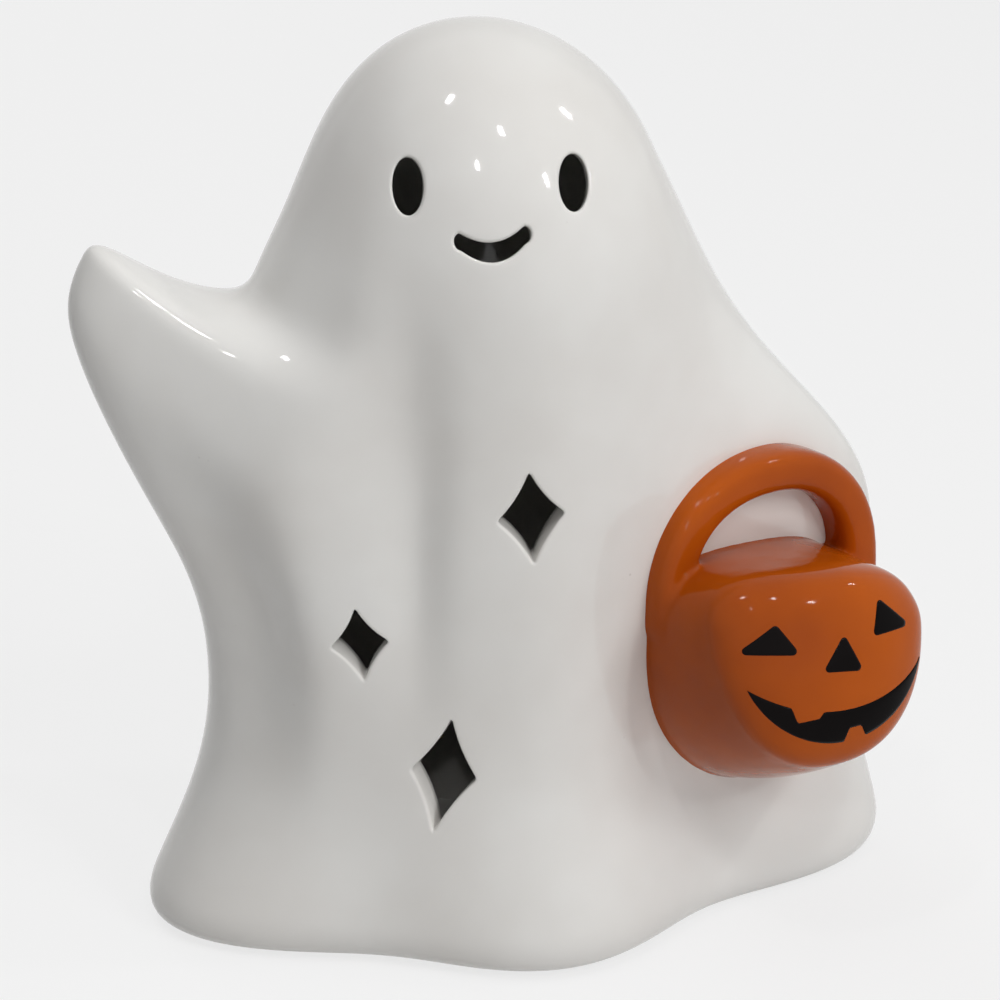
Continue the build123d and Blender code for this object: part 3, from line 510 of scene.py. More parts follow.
class ShellGrid:
    """Closed grid of the shell: down the outer face, in under the foot and up the inner face."""

    def __init__(self, sizes):
        self.edge = sizes.cut_edge
        self.softness = sizes.drape
        self.angle = np.arange(COLUMNS) * 2 * np.pi / COLUMNS
        rise = HEIGHT - DOME_START
        over = np.linspace(np.pi / 2, 0, DOME_ROWS + 1)[1:]
        dome = DOME_START + rise * np.sin(over)
        trunk = np.linspace(DOME_START, HEM_ROUND, TRUNK_ROWS + 1)[1:]
        hem = HEM_ROUND * (1 - np.cos(np.linspace(np.pi / 2, 0, HEM_ROWS + 1)[1:]))
        self.outer_level = np.concatenate([dome, trunk, hem])
        over = np.linspace(0, np.pi / 2, INNER_DOME_ROWS + 1)[1:-1]
        self.inner_level = np.concatenate([
            trunk[trunk > HOLLOW_FLOOR][::-1], DOME_START + (rise - WALL) * np.sin(over)])
        outer = self.outer(self.angle, self.outer_level[:, None])
        inner = self.inner(self.angle, self.inner_level[:, None])
        foot = self.foot_rows(outer[-1])
        self.inner_start = len(outer) + len(foot)
        self.rows = np.concatenate([outer, foot, inner])
        self.keep = np.ones((len(self.rows) - 1, COLUMNS), bool)
        self.points = [self.rows.reshape(-1, 3)]
        self.count = len(self.points[0])
        self.quads = []
        self.quad_slots = []

    def outer(self, angle, level):
        """Points of the outer face."""
        return shell_surface(angle, level, 0, self.softness)

    def inner(self, angle, level):
        """Points of the inner face."""
        return shell_surface(angle, level, WALL)

    def foot_rows(self, hem):
        """Rings under the foot: flat to the seat's edge, up its wall, in to the hole and up through it."""
        flat = hem - PLACE
        turn = np.arctan2(flat[:, 1], flat[:, 0])
        ray = np.stack([np.cos(turn), np.sin(turn), np.zeros_like(turn)], -1)
        lift = np.array((0, 0, 1))
        edge = SEAT_RADIUS + FOOT_EDGE
        rows = [flat + share * (edge * ray - flat) for share in FOOT_STEPS]
        profile = [(edge, 0), (SEAT_RADIUS, FOOT_EDGE), (SEAT_RADIUS, SEAT_LEVEL - FOOT_EDGE),
                   (SEAT_RADIUS, SEAT_LEVEL), (HOLE_RADIUS + FOOT_EDGE, SEAT_LEVEL),
                   (HOLE_RADIUS, SEAT_LEVEL + FOOT_EDGE), (HOLE_RADIUS, HOLLOW_FLOOR - FOOT_EDGE),
                   (HOLE_RADIUS + FOOT_EDGE, HOLLOW_FLOOR)]
        rows += [radius * ray + level * lift for radius, level in profile]
        return np.array(rows) + PLACE

    def add_rings(self, rings):
        """Adds loops of points and returns their numbers."""
        number = self.count + np.arange(rings.shape[0] * rings.shape[1]).reshape(rings.shape[:2])
        self.points.append(rings.reshape(-1, 3))
        self.count += number.size
        return number

    def add_quads(self, quads, slot):
        """Adds faces with the slot of their finish."""
        self.quads.append(quads)
        self.quad_slots.append(np.full(len(quads), slot))

    def window_size(self, angle, level, levels):
        """Middle cell of a window and its half sizes in columns and rows."""
        step = 2 * np.pi / COLUMNS
        order = np.argsort(levels)
        row = np.interp(level, levels[order], order)
        column = angle / step
        middle = [int(round((v.min() + v.max()) / 2)) for v in (column, row)]
        half = [int(np.ceil(np.abs(v - m).max())) + WINDOW_MARGIN for v, m in zip((column, row), middle)]
        return middle, half

    def patch(self, face, levels, middle, half, angle, level, first_row, upwards):
        """Loop of a window's rectangle of cells, and rings on the face from it to the edge of a cut."""
        across, up = window_frame(*half)
        column = middle[0] + across
        row = middle[1] + upwards * up
        frame_angle = column * 2 * np.pi / COLUMNS
        frame_level = levels[row]
        loop = (first_row + row) * COLUMNS + column % COLUMNS
        cells = np.arange(-half[0], half[0])
        self.keep[first_row + middle[1] - half[1]:first_row + middle[1] + half[1],
                  (middle[0] + cells) % COLUMNS] = False
        share = np.array(SURFACE_RINGS)[:, None]
        rings = face(angle + share * (frame_angle - angle), level + share * (frame_level - level))
        return loop, rings[::-1]

    def cut(self, outline, start, axes):
        """Opens a window: rings on the outer face, a rounded edge, a wall, rings on the inner face."""
        side, up, out = axes
        rough = outline(ROUGH_POINTS)
        wide = rough + outline_normals(rough) * self.edge
        outer_place = meet_surface(self.outer, start, side, up, wide)
        middle, half = self.window_size(*outer_place, self.outer_level)
        inner_place = meet_surface(self.inner, start, side, up, wide)
        inner_middle, inner_half = self.window_size(*inner_place, self.inner_level)
        half = [max(pair) for pair in zip(half, inner_half)]
        edge = outline(sum(half))
        normal = outline_normals(edge)
        angle, level = meet_surface(self.outer, start, side, up, edge + normal * self.edge)
        loop, rings = self.patch(self.outer, self.outer_level, middle, half, angle, level, 0, -1)
        lip = self.outer(angle, level)
        corner = self.outer(*meet_surface(self.outer, start, side, up, edge))
        inside = self.inner(*meet_surface(self.inner, start, side, up, edge))
        turn = EDGE_TURNS[:, None, None]
        rounding = corner + (lip - corner) * (1 - np.sin(turn)) - out * self.edge * (1 - np.cos(turn))
        wall_end = inside + out * INNER_EDGE
        wall = rounding[-1] + np.array(WALL_STEPS)[:, None, None] * (wall_end - rounding[-1])
        inner_angle, inner_level = meet_surface(self.inner, start, side, up, edge + normal * INNER_EDGE)
        inner_lip = self.inner(inner_angle, inner_level)[None]
        inner_loop, inner_rings = self.patch(
            self.inner, self.inner_level, inner_middle, half, inner_angle, inner_level, self.inner_start, 1)
        outside = self.add_rings(np.concatenate([rings, rounding, wall, wall_end[None]]))
        inward = self.add_rings(np.concatenate([inner_lip, inner_rings[::-1]]))
        loops = [loop, *outside]
        for first, second in zip(loops, loops[1:]):
            self.add_quads(band_faces(first, second), GLAZED)
        loops = [outside[-1], *inward, inner_loop]
        for first, second in zip(loops, loops[1:]):
            self.add_quads(band_faces(first, second), BARE)

    def close(self):
        """Points, quads and triangles of the whole shell, with the slot of each face."""
        row, column = np.nonzero(self.keep)
        after = (column + 1) % COLUMNS
        quads = np.stack([row * COLUMNS + column, (row + 1) * COLUMNS + column,
                          (row + 1) * COLUMNS + after, row * COLUMNS + after], -1)
        slots = np.where(row >= self.inner_start - 1, BARE, GLAZED)
        tops = self.add_rings(np.array([[self.outer(np.zeros(1), np.full(1, HEIGHT))[0],
                                         self.inner(np.zeros(1), np.full(1, HEIGHT - WALL))[0]]]))[0]
        first = np.arange(COLUMNS)
        second = (first + 1) % COLUMNS
        last = (len(self.rows) - 1) * COLUMNS
        cap = np.stack([np.full(COLUMNS, tops[0]), first, second], -1)
        inner_cap = np.stack([np.full(COLUMNS, tops[1]), last + second, last + first], -1)
        caps = np.repeat((GLAZED, BARE), COLUMNS)
        slots = np.concatenate([slots, *self.quad_slots, caps])
        return (np.concatenate(self.points), np.concatenate([quads, *self.quads]),
                np.concatenate([cap, inner_cap]), slots)


def ring_faces(rings, sides):
    """Quads of a tube of rings, each ring joined to the next."""
    row = np.arange(rings - 1)[:, None] * sides
    column = np.arange(sides)
    after = (column + 1) % sides
    return np.stack(np.broadcast_arrays(row + column, row + sides + column, row + sides + after, row + after),
                    -1).reshape(-1, 4)


def capped_tube(rings, start, end):
    """Points and faces of a tube with a fan at each end; its rings turn clockwise seen from the start."""
    count, sides = rings.shape[:2]
    points = np.concatenate([rings.reshape(-1, 3), start[None], end[None]])
    first = np.arange(sides)
    second = (first + 1) % sides
    last = (count - 1) * sides
    fan = np.stack([np.full(sides, count * sides), first, second], -1)
    end_fan = np.stack([np.full(sides, count * sides + 1), last + second, last + first], -1)
    return points, ring_faces(count, sides), np.concatenate([fan, end_fan])


def superellipse(count, squareness):
    """Sideways and up of a rounded square of half size one, at even steps of its angle."""
    turn = np.arange(count) * 2 * np.pi / count
    power = 2 / squareness
    across = np.sign(np.cos(turn)) * np.abs(np.cos(turn))**power
    along = np.sign(np.sin(turn)) * np.abs(np.sin(turn))**power
    return across, along


def pail_place(across, along, depth):
    """Points of the pail's own plane in the row frame."""
    side, up, out = upright_axes(PAIL_YAW, PAIL_PITCH, PAIL_ROLL)
    across, along, depth = np.broadcast_arrays(across, along, depth)
    return PLACE + PAIL_CENTRE + across[..., None] * side + along[..., None] * up + depth[..., None] * out


def pail_narrowing(across, along):
    """Share of the pail's width that is left towards the free end of its rim."""
    upwards = smooth_step(along, PAIL_SHOULDER_FROM, PAIL_SHOULDER_TO)
    return 1 - PAIL_SHOULDER * upwards * smooth_step(across, *PAIL_SHOULDER_SIDE)


def under_rim(across, along, depth):
    """Heights held under the tipped rim by a soft least of the two."""
    rim = PAIL_RIM + PAIL_RIM_ROLL * across - PAIL_RIM_TIP * depth
    return -RIM_SOFTNESS * np.logaddexp(-along / RIM_SOFTNESS, -rim / RIM_SOFTNESS)


def pail_front_depth(across, along):
    """Depth of the bulging front: a half ellipse over the superelliptic distance from the middle.

    The height before the rim drew it down is found in a few steps.
    """
    free = along
    for _ in range(RIM_STEPS):
        wide = across / pail_narrowing(across, free)
        tall = np.where(free < 0, PAIL_DROP, PAIL_RISE)
        reach = np.abs(wide / PAIL_HALF_WIDTH)**PAIL_SQUARENESS + np.abs(free / tall)**PAIL_SQUARENESS
        share = np.clip(reach**(1 / PAIL_SQUARENESS) / PAIL_CREASE_SHARE, 0, 1)
        depth = PAIL_CREASE + PAIL_BULGE * np.sqrt(1 - share**2)
        free = free + along - under_rim(across, free, depth)
    return depth


def height_over_shell(points):
    """How far points stand outside the shell's outer face, measured level from its axis.

    The face's radius is tabled over level and direction, then read between the table's entries.
    """
    levels = np.linspace(0, HEIGHT, TABLE_LEVELS + 1)
    turns = np.linspace(-np.pi, np.pi, TABLE_TURNS + 1)
    angle = np.linspace(0, 2 * np.pi, TABLE_RING, endpoint=False)
    face = shell_surface(angle, levels[:, None], 0) - PLACE
    turn = np.arctan2(face[..., 1], face[..., 0])
    radius = np.hypot(face[..., 0], face[..., 1])
    table = np.stack([np.interp(turns, t[o], r[o], period=2 * np.pi)
                      for t, r, o in zip(turn, radius, np.argsort(turn, 1))])
    at = points - PLACE
    row = np.clip(at[..., 2] / HEIGHT * TABLE_LEVELS, 0, TABLE_LEVELS - TABLE_MARGIN)
    around = (np.arctan2(at[..., 1], at[..., 0]) + np.pi) / (2 * np.pi)
    column = np.clip(around * TABLE_TURNS, 0, TABLE_TURNS - TABLE_MARGIN)
    i, j = row.astype(int), column.astype(int)
    s, t = row - i, column - j
    low = table[i, j] * (1 - t) + table[i, j + 1] * t
    high = table[i + 1, j] * (1 - t) + table[i + 1, j + 1] * t
    return np.hypot(at[..., 0], at[..., 1]) - (low * (1 - s) + high * s)


def keep_in_wall(points, depth):
    """Points deeper than a depth under the shell's face drawn out to that depth, level from the axis."""
    over = height_over_shell(points)
    away = (points - PLACE) * np.array((1, 1, 0))
    away /= np.linalg.norm(away, axis=-1, keepdims=True)
    return points + away * np.maximum(-depth - over, 0)[..., None]


def pail_drum(fillet):
    """Drum of rounded squares that taper to a crease and close in a half ellipse, flattened at the rim.

    Near the shell each ring flares outwards by a quarter circle, so that the drum runs into the face.
    """
    across, along = superellipse(PAIL_COLUMNS, PAIL_SQUARENESS)
    depth = np.linspace(PAIL_BACK, PAIL_CREASE, PAIL_SIDE_ROWS)
    way = np.clip((depth - PAIL_TAPER_FROM) / (PAIL_CREASE - PAIL_TAPER_FROM), 0, 1)
    share = 1 - (1 - PAIL_CREASE_SHARE) * way**2
    turn = np.linspace(0, np.pi / 2, PAIL_FRONT_ROWS + 1)[1:-1]
    depth = np.r_[depth, PAIL_CREASE + PAIL_BULGE * np.sin(turn)][:, None]
    share = np.r_[share, PAIL_CREASE_SHARE * np.cos(turn)][:, None]
    y = np.where(along < 0, PAIL_DROP, PAIL_RISE) * share * along
    x = PAIL_HALF_WIDTH * share * across
    x = x * pail_narrowing(x, y)
    y = under_rim(x, y, depth)
    outwards = np.stack([across, along], 0)
    outwards = outwards / np.linalg.norm(outwards, axis=0)
    flare = np.zeros_like(x)
    for _ in range(FLARE_STEPS):
        over = height_over_shell(pail_place(x + flare * outwards[0], y + flare * outwards[1], depth))
        near = np.clip(1 - over / fillet, 0, FLARE_END)
        flare = fillet * (1 - np.sqrt(1 - near**2))
    rings = pail_place(x + flare * outwards[0], y + flare * outwards[1], depth)
    middle = np.zeros(1)
    start = pail_place(middle, middle, np.full(1, PAIL_BACK))[0]
    end = pail_place(middle, middle, np.full(1, PAIL_CREASE + PAIL_BULGE))[0]
    points, quads, tris = capped_tube(rings, start, end)
    return keep_in_wall(points, PAIL_SUNK), quads[:, ::-1], tris[:, ::-1]


def pail_handle(half_width, half_depth):
    """Rounded square carried up a leg, round a half ellipse and down the other leg, with round ends."""
    side, up, out = upright_axes(HANDLE_YAW, HANDLE_PITCH)
    across, along = superellipse(2 * HANDLE_ARCH_POINTS, HANDLE_ARCH)
    half_turn = slice(HANDLE_ARCH_POINTS + 1)
    x = HANDLE_HALF_SPAN * np.r_[1, across[half_turn], -1]
    y = np.r_[-HANDLE_LEG, HANDLE_RISE * along[half_turn], -HANDLE_LEG]
    run = np.r_[0, np.cumsum(np.hypot(np.diff(x), np.diff(y)))]
    at = np.linspace(0, run[-1], HANDLE_RINGS)
    x, y = np.interp(at, run, x), np.interp(at, run, y)
    along = np.stack([np.gradient(x), np.gradient(y)], -1)
    along /= np.linalg.norm(along, axis=1)[:, None]
    to_end = np.minimum(at, run[-1] - at)
    size = np.sqrt(1 - np.clip(1 - (to_end + HANDLE_TIP) / HANDLE_END, 0, 1)**2)
    across, proud = superellipse(HANDLE_SIDES, HANDLE_SQUARENESS)
    wide = size[:, None] * half_width * across
    high = size[:, None] * half_depth * proud + HANDLE_STAND_OFF
    plane_x = x[:, None] + wide * along[:, 1:]
    plane_y = y[:, None] - wide * along[:, :1]
    origin = PLACE + HANDLE_FOOT
    rings = origin + plane_x[..., None] * side + plane_y[..., None] * up + high[..., None] * out
    ends = [origin + x[i] * side + y[i] * up + HANDLE_STAND_OFF * out for i in (0, -1)]
    points, quads, tris = capped_tube(rings, *ends)
    return keep_in_wall(points, PAIL_SUNK), quads, tris


def rounded_corners(corners, radius):
    """Outline of a polygon that turns anticlockwise, with an arc at each corner."""
    corners = np.array(corners) * MM
    along = np.roll(corners, -1, 0) - corners
    along /= np.linalg.norm(along, axis=1)[:, None]
    before = np.roll(along, 1, 0)
    turn = np.arctan2(before[:, 0] * along[:, 1] - before[:, 1] * along[:, 0], (before * along).sum(1))
    inwards = np.stack([-along[:, 1], along[:, 0]], -1)
    centre = corners + radius * (inwards + along * np.tan(turn / 2)[:, None])
    start = np.arctan2(-before[:, 0], before[:, 1])
    angle = start[:, None] + np.linspace(0, 1, PATCH_ARC) * turn[:, None]
    arcs = (centre[:, None] + radius * np.stack([np.cos(angle), np.sin(angle)], -1)).reshape(-1, 2)
    return resample(np.concatenate([arcs, arcs[:1]]), PATCH_SIDES)


def glaze_patch(outline, proud):
    """Pad on the pail's front over a star-shaped outline: rings to its middle, rounded off at its edge."""
    middle = outline.mean(0)
    share = np.linspace(0, 1, PATCH_RINGS + 1)[1:]
    spread = middle + share[:, None, None] * (outline - middle)
    across, along = spread[..., 0], spread[..., 1]
    top = pail_front_depth(across, along) + proud * np.sqrt(1 - share**PATCH_DOME)[:, None]
    rings = np.concatenate([
        pail_place(across, along, top),
        pail_place(across[-1:], along[-1:], pail_front_depth(across[-1:], along[-1:]) - GLAZE_SUNK)])
    base = pail_front_depth(*middle[:, None])
    ends = [pail_place(middle[:1], middle[1:], base + rise)[0] for rise in (proud, -GLAZE_SUNK)]
    return capped_tube(rings, *ends)


def grin_patch(proud):
    """Crescent pad on the pail's front: closed loops from corner to corner between two arcs with teeth."""
    corners = np.array((GRIN_LEFT, GRIN_RIGHT)) * MM
    t = np.sin(np.linspace(-1, 1, GRIN_STATIONS + 2)[1:-1] * np.pi / 2)
    x = corners[0, 0] + (corners[1, 0] - corners[0, 0]) * (1 + t) / 2

    def arc(low):
        """Heights of the circle through both corners and a lowest point."""
        points = np.array([*corners, np.array(low) * MM])
        a, b, c = np.linalg.solve(np.c_[2 * points, np.ones(3)], (points**2).sum(1))
        return b - np.sqrt(c + a**2 + b**2 - (x - a)**2)

    def bite(tooth):
        """Share of a tooth at each station, and the height of its tip."""
        place, width, tip = np.array(tooth) * MM
        left, right = place - width / 2, place + width / 2
        inside = smooth_step(x, left - TOOTH_SLOPE, left + TOOTH_SLOPE)
        return inside * (1 - smooth_step(x, right - TOOTH_SLOPE, right + TOOTH_SLOPE)), tip

    top, bottom = arc(GRIN_TOP), arc(GRIN_BOTTOM)
    share, tip = bite(TOOTH_UPPER)
    top = top + share * (np.minimum(tip, top) - top)
    share, tip = bite(TOOTH_LOWER)
    bottom = bottom + share * (np.maximum(tip, bottom) - bottom)
    s = np.linspace(0, 1, GRIN_STEPS)
    dome = np.sqrt(np.clip(1 - (2 * s - 1)**PATCH_DOME, 0, 1))
    up = np.r_[s, s[::-1]]
    rise = np.r_[proud * dome, np.full(GRIN_STEPS, -GLAZE_SUNK)]
    across = np.broadcast_to(x[:, None], (len(x), len(up)))
    along = bottom[:, None] + (top - bottom)[:, None] * up
    rings = pail_place(across, along, pail_front_depth(across, along) + rise)
    ends = pail_place(*corners.T, pail_front_depth(*corners.T))
    return capped_tube(rings, *ends)


# Meshes

def mesh_piece(name, points, quads, tris, slots=None):
    """New object at the origin from arrays of points and faces."""
    mesh = bpy.data.meshes.new(name)
    sizes = np.r_[np.full(len(quads), 4), np.full(len(tris), 3)]
    corners = np.r_[quads.ravel(), tris.ravel()]
    mesh.vertices.add(len(points))
    mesh.vertices.foreach_set("co", points.astype(np.float32).ravel())
    mesh.loops.add(len(corners))
    mesh.loops.foreach_set("vertex_index", corners.astype(np.int32))
    mesh.polygons.add(len(sizes))
    mesh.polygons.foreach_set("loop_start", np.r_[0, np.cumsum(sizes)[:-1]].astype(np.int32))
    if slots is not None:
        mesh.polygons.foreach_set("material_index", slots.astype(np.int32))
    mesh.update(calc_edges=True)
    mesh.validate()
    mesh.shade_smooth()
    piece = bpy.data.objects.new(name, mesh)
    bpy.context.scene.collection.objects.link(piece)
    return piece


def join_arrays(*parts):
    """Points, quads and triangles of several parts as one."""
    start = np.cumsum([0] + [len(points) for points, _, _ in parts])
    return (np.concatenate([points for points, _, _ in parts]),
            np.concatenate([quads + n for (_, quads, _), n in zip(parts, start)]),
            np.concatenate([tris + n for (_, _, tris), n in zip(parts, start)]))


def melt_together(piece):
    """Parts of a piece grown into one skin, with soft hollows where they meet."""
    remesh = piece.modifiers.new("one skin", "REMESH")
    remesh.mode = "VOXEL"
    remesh.voxel_size = REMESH_CELL
    soften = piece.modifiers.new("soften", "SMOOTH")
    soften.factor = REMESH_SOFTENING
    soften.iterations = REMESH_SMOOTHING
    view = bpy.context.evaluated_depsgraph_get()
    skin = bpy.data.meshes.new_from_object(piece.evaluated_get(view))
    piece.modifiers.clear()
    old = piece.data
    piece.data = skin
    bpy.data.meshes.remove(old)
    skin.shade_smooth()


def dress(piece, slot, *materials):
    """Gives a piece its finishes; the slot argument is not used."""
    piece.data.materials.clear()
    for material in materials:
        piece.data.materials.append(material)


# Materials

def put(tree, socket, value):
    """Sets a socket, or links it where the value is another socket."""
    if isinstance(value, bpy.types.NodeSocket):
        tree.links.new(value, socket)
    else:
        socket.default_value = value


def put_all(tree, node, values):
    """Sets or links sockets of a node by their names, with _ for a space."""
    for key, value in values.items():
        put(tree, node.inputs[key.replace("_", " ")], value)


def add_node(tree, kind, settings=None, **inputs):
    """New node with its settings and with its inputs set or linked by name."""
    made = tree.nodes.new(kind)
    for key, value in (settings or {}).items():
        setattr(made, key, value)
    put_all(tree, made, inputs)
    return made


def worked_out(tree, operation, first, second):
    """Result of a Math node on two values."""
    made = add_node(tree, "ShaderNodeMath", {"operation": operation})
    put(tree, made.inputs[0], first)
    put(tree, made.inputs[1], second)
    return made.outputs[0]


def shade(colour, share):
    """Colour at a share of its strength."""
    return [v * share for v in colour]


def mix_colour(tree, factor, first, second):
    """Colour between two colours by a factor that changes over the surface."""
    made = tree.nodes.new("ShaderNodeMix")
    made.data_type = "RGBA"
    for place, value in zip(MIX_INPUTS, (factor, first, second)):
        linked = isinstance(value, bpy.types.NodeSocket)
        put(tree, made.inputs[place], value if linked else (*value, 1))
    return made.outputs[MIX_RESULT]


def spread_value(tree, value, low, high):
    """Value from 0 to 1 spread between two limits."""
    return add_node(tree, "ShaderNodeMapRange", Value=value, To_Min=low, To_Max=high).outputs["Result"]


def mask_between(tree, value, low, high):
    """0 where a value is under one limit and 1 where it is over another."""
    return add_node(tree, "ShaderNodeMapRange", Value=value, From_Min=low, From_Max=high).outputs["Result"]


def effect_group(name, inputs, outputs):
    """Empty node group with named values in and out; returns it with its two end nodes."""
    group = bpy.data.node_groups.new(name, "ShaderNodeTree")
    for socket, value in inputs.items():
        made = group.interface.new_socket(name=socket, in_out="INPUT", socket_type="NodeSocketFloat")
        made.default_value = value
    for socket in outputs:
        group.interface.new_socket(name=socket, in_out="OUTPUT", socket_type="NodeSocketFloat")
    return group, group.nodes.new("NodeGroupInput"), group.nodes.new("NodeGroupOutput")


def glaze_flow_group():
    """Glaze: slow pooling, a fine ripple for the bump, and rare pinholes."""
    group, given, result = effect_group(
        "glaze flow", {"Pool Scale": 22.0, "Ripple Scale": 90.0, "Pinhole Scale": 420.0},
        ("Pooling", "Ripple", "Pinholes"))
    place = add_node(group, "ShaderNodeTexCoord").outputs["Object"]
    pool = add_node(group, "ShaderNodeTexNoise", Vector=place, Scale=given.outputs["Pool Scale"],
                    Detail=3.0, Roughness=0.5)
    ripple = add_node(group, "ShaderNodeTexNoise", Vector=place, Scale=given.outputs["Ripple Scale"],
                      Detail=2.0, Roughness=0.45)
    cells = add_node(group, "ShaderNodeTexVoronoi", Vector=place, Scale=given.outputs["Pinhole Scale"])
    chance = add_node(group, "ShaderNodeTexNoise", Vector=place, Scale=given.outputs["Ripple Scale"],
                      Detail=1.0)
    dot = add_node(group, "ShaderNodeMapRange", Value=cells.outputs["Distance"], From_Min=0.06, From_Max=0.16,
                   To_Min=1.0, To_Max=0.0).outputs["Result"]
    rare = mask_between(group, chance.outputs["Fac"], 0.72, 0.76)
    put_all(group, result, {"Pooling": pool.outputs["Fac"], "Ripple": ripple.outputs["Fac"],
                            "Pinholes": worked_out(group, "MULTIPLY", dot, rare)})
    return group


def moulded_grain_group():
    """Moulded plastic: a fine spark-eroded grain and a slow change of tone."""
    group, given, result = effect_group("moulded grain", {"Grain Scale": 2200.0, "Tone Scale": 60.0},
                                        ("Grain", "Tone"))
    place = add_node(group, "ShaderNodeTexCoord").outputs["Object"]
    grain = add_node(group, "ShaderNodeTexNoise", Vector=place, Scale=given.outputs["Grain Scale"],
                     Detail=2.0)
    tone = add_node(group, "ShaderNodeTexNoise", Vector=place, Scale=given.outputs["Tone Scale"], Detail=4.0)
    put_all(group, result, {"Grain": grain.outputs["Fac"], "Tone": tone.outputs["Fac"]})
    return group


def metal_haze_group():
    """Plated metal: fine scratches and slow dulling."""
    group, given, result = effect_group("metal haze", {"Scratch Scale": 900.0, "Haze Scale": 240.0},
                                        ("Scratches", "Haze"))
    place = add_node(group, "ShaderNodeTexCoord").outputs["Object"]
    drawn = add_node(group, "ShaderNodeMapping", Vector=place, Scale=(1.0, 1.0, 14.0)).outputs["Vector"]
    scratch = add_node(group, "ShaderNodeTexNoise", Vector=drawn, Scale=given.outputs["Scratch Scale"],
                       Detail=3.0)
    haze = add_node(group, "ShaderNodeTexNoise", Vector=place, Scale=given.outputs["Haze Scale"], Detail=3.0)
    put_all(group, result, {"Scratches": scratch.outputs["Fac"], "Haze": haze.outputs["Fac"]})
    return group


def effect(tree, name, maker, **inputs):
    """Places a shared effect in a material, built on its first use."""
    group = bpy.data.node_groups.get(name) or maker()
    made = tree.nodes.new("ShaderNodeGroup")
    made.node_tree = group
    put_all(tree, made, inputs)
    return made.outputs


def new_finish(name, **plain):
    """Material with a Principled shader whose unchanging values are set on its own sockets."""
    material = bpy.data.materials.new(name)
    material.use_nodes = True
    tree = material.node_tree
    shader = tree.nodes["Principled BSDF"]
    put_all(tree, shader, plain)
    return material, tree, shader


def feed(tree, shader, **values):
    """Links values that change over the surface to the shader's sockets."""
    put_all(tree, shader, values)


def bump(tree, shader, height, strength, distance):
    """Bump from a height into the shader's normal."""
    made = add_node(tree, "ShaderNodeBump", Height=height, Strength=strength, Distance=distance)
    feed(tree, shader, Normal=made.outputs["Normal"])


def place_mask(tree, axis, low, high):
    """0 below one place along an axis and 1 above another, in the piece's own coordinates."""
    place = add_node(tree, "ShaderNodeTexCoord").outputs["Object"]
    along = add_node(tree, "ShaderNodeSeparateXYZ", Vector=place).outputs[axis]
    return mask_between(tree, along, low, high)


def glaze_finish(name, thick, thin, ripple, mirror, wiped=None):
    """Gloss glaze that pools between a thick and a thin colour, wiped off the foot where it has one."""
    material, tree, shader = new_finish(name, IOR=1.52, Specular_IOR_Level=mirror)
    flow = effect(tree, "glaze flow", glaze_flow_group)
    colour = mix_colour(tree, mask_between(tree, flow["Pooling"], *GLAZE_POOLS), thin, thick)
    colour = mix_colour(tree, flow["Pinholes"], colour, shade(thin, 0.88))
    rough = spread_value(tree, flow["Pooling"], *GLAZE_ROUGHNESS)
    if wiped is not None:
        glazed = place_mask(tree, "Z", WIPED_FROM, WIPED_TO)
        colour = mix_colour(tree, glazed, wiped, colour)
        rough = worked_out(tree, "MAXIMUM", rough, spread_value(tree, glazed, WIPED_ROUGHNESS, 0.0))
    feed(tree, shader, Base_Color=colour, Roughness=rough)
    bump(tree, shader, flow["Ripple"], ripple, GLAZE_RIPPLE)
    return material


def bisque_finish(name, colour):
    """Unglazed clay or foam: matte, with a fine tooth."""
    material, tree, shader = new_finish(name, Specular_IOR_Level=0.02)
    grain = effect(tree, "moulded grain", moulded_grain_group, Grain_Scale=900.0, Tone_Scale=30.0)
    feed(tree, shader, Base_Color=mix_colour(tree, grain["Tone"], shade(colour, 0.82), colour),
         Roughness=spread_value(tree, grain["Grain"], 0.75, 0.95))
    bump(tree, shader, grain["Grain"], 0.4, 0.15 * MM)
    return material


def plastic_finish(name, colour, roughness, grain_scale=2200.0):
    """Moulded plastic with a fine grain, between two roughnesses."""
    material, tree, shader = new_finish(name, IOR=1.47)
    grain = effect(tree, "moulded grain", moulded_grain_group, Grain_Scale=grain_scale)
    feed(tree, shader, Base_Color=mix_colour(tree, grain["Tone"], shade(colour, 0.88), colour),
         Roughness=spread_value(tree, grain["Grain"], *roughness))
    bump(tree, shader, grain["Grain"], 0.25, 0.05 * MM)
    return material


def metal_finish(name, colour, roughness):
    """Plated metal with fine scratches, between two roughnesses."""
    material, tree, shader = new_finish(name, Metallic=1.0)
    haze = effect(tree, "metal haze", metal_haze_group)
    feed(tree, shader, Base_Color=mix_colour(tree, haze["Haze"], shade(colour, 0.75), colour),
         Roughness=spread_value(tree, haze["Scratches"], *roughness))
    bump(tree, shader, haze["Scratches"], 0.15, 0.02 * MM)
    return material


def board_finish(name, mask, bare):
    """Circuit board: tracks show through the solder mask as a paler grid, toned by the laminate."""
    material, tree, shader = new_finish(name, IOR=1.5)
    grain = effect(tree, "moulded grain", moulded_grain_group, Grain_Scale=1500.0)
    place = add_node(tree, "ShaderNodeTexCoord").outputs["Object"]
    tracks = add_node(tree, "ShaderNodeTexBrick", {"offset": 0.5}, Vector=place, Scale=110.0,
                      Mortar_Size=0.035).outputs["Fac"]
    colour = mix_colour(tree, tracks, mask, shade(mask, 1.9))
    colour = mix_colour(tree, spread_value(tree, grain["Tone"], 0.0, 0.35), colour, bare)
    feed(tree, shader, Base_Color=colour, Roughness=spread_value(tree, grain["Grain"], 0.25, 0.4))
    bump(tree, shader, tracks, 0.3, 0.04 * MM)
    return material


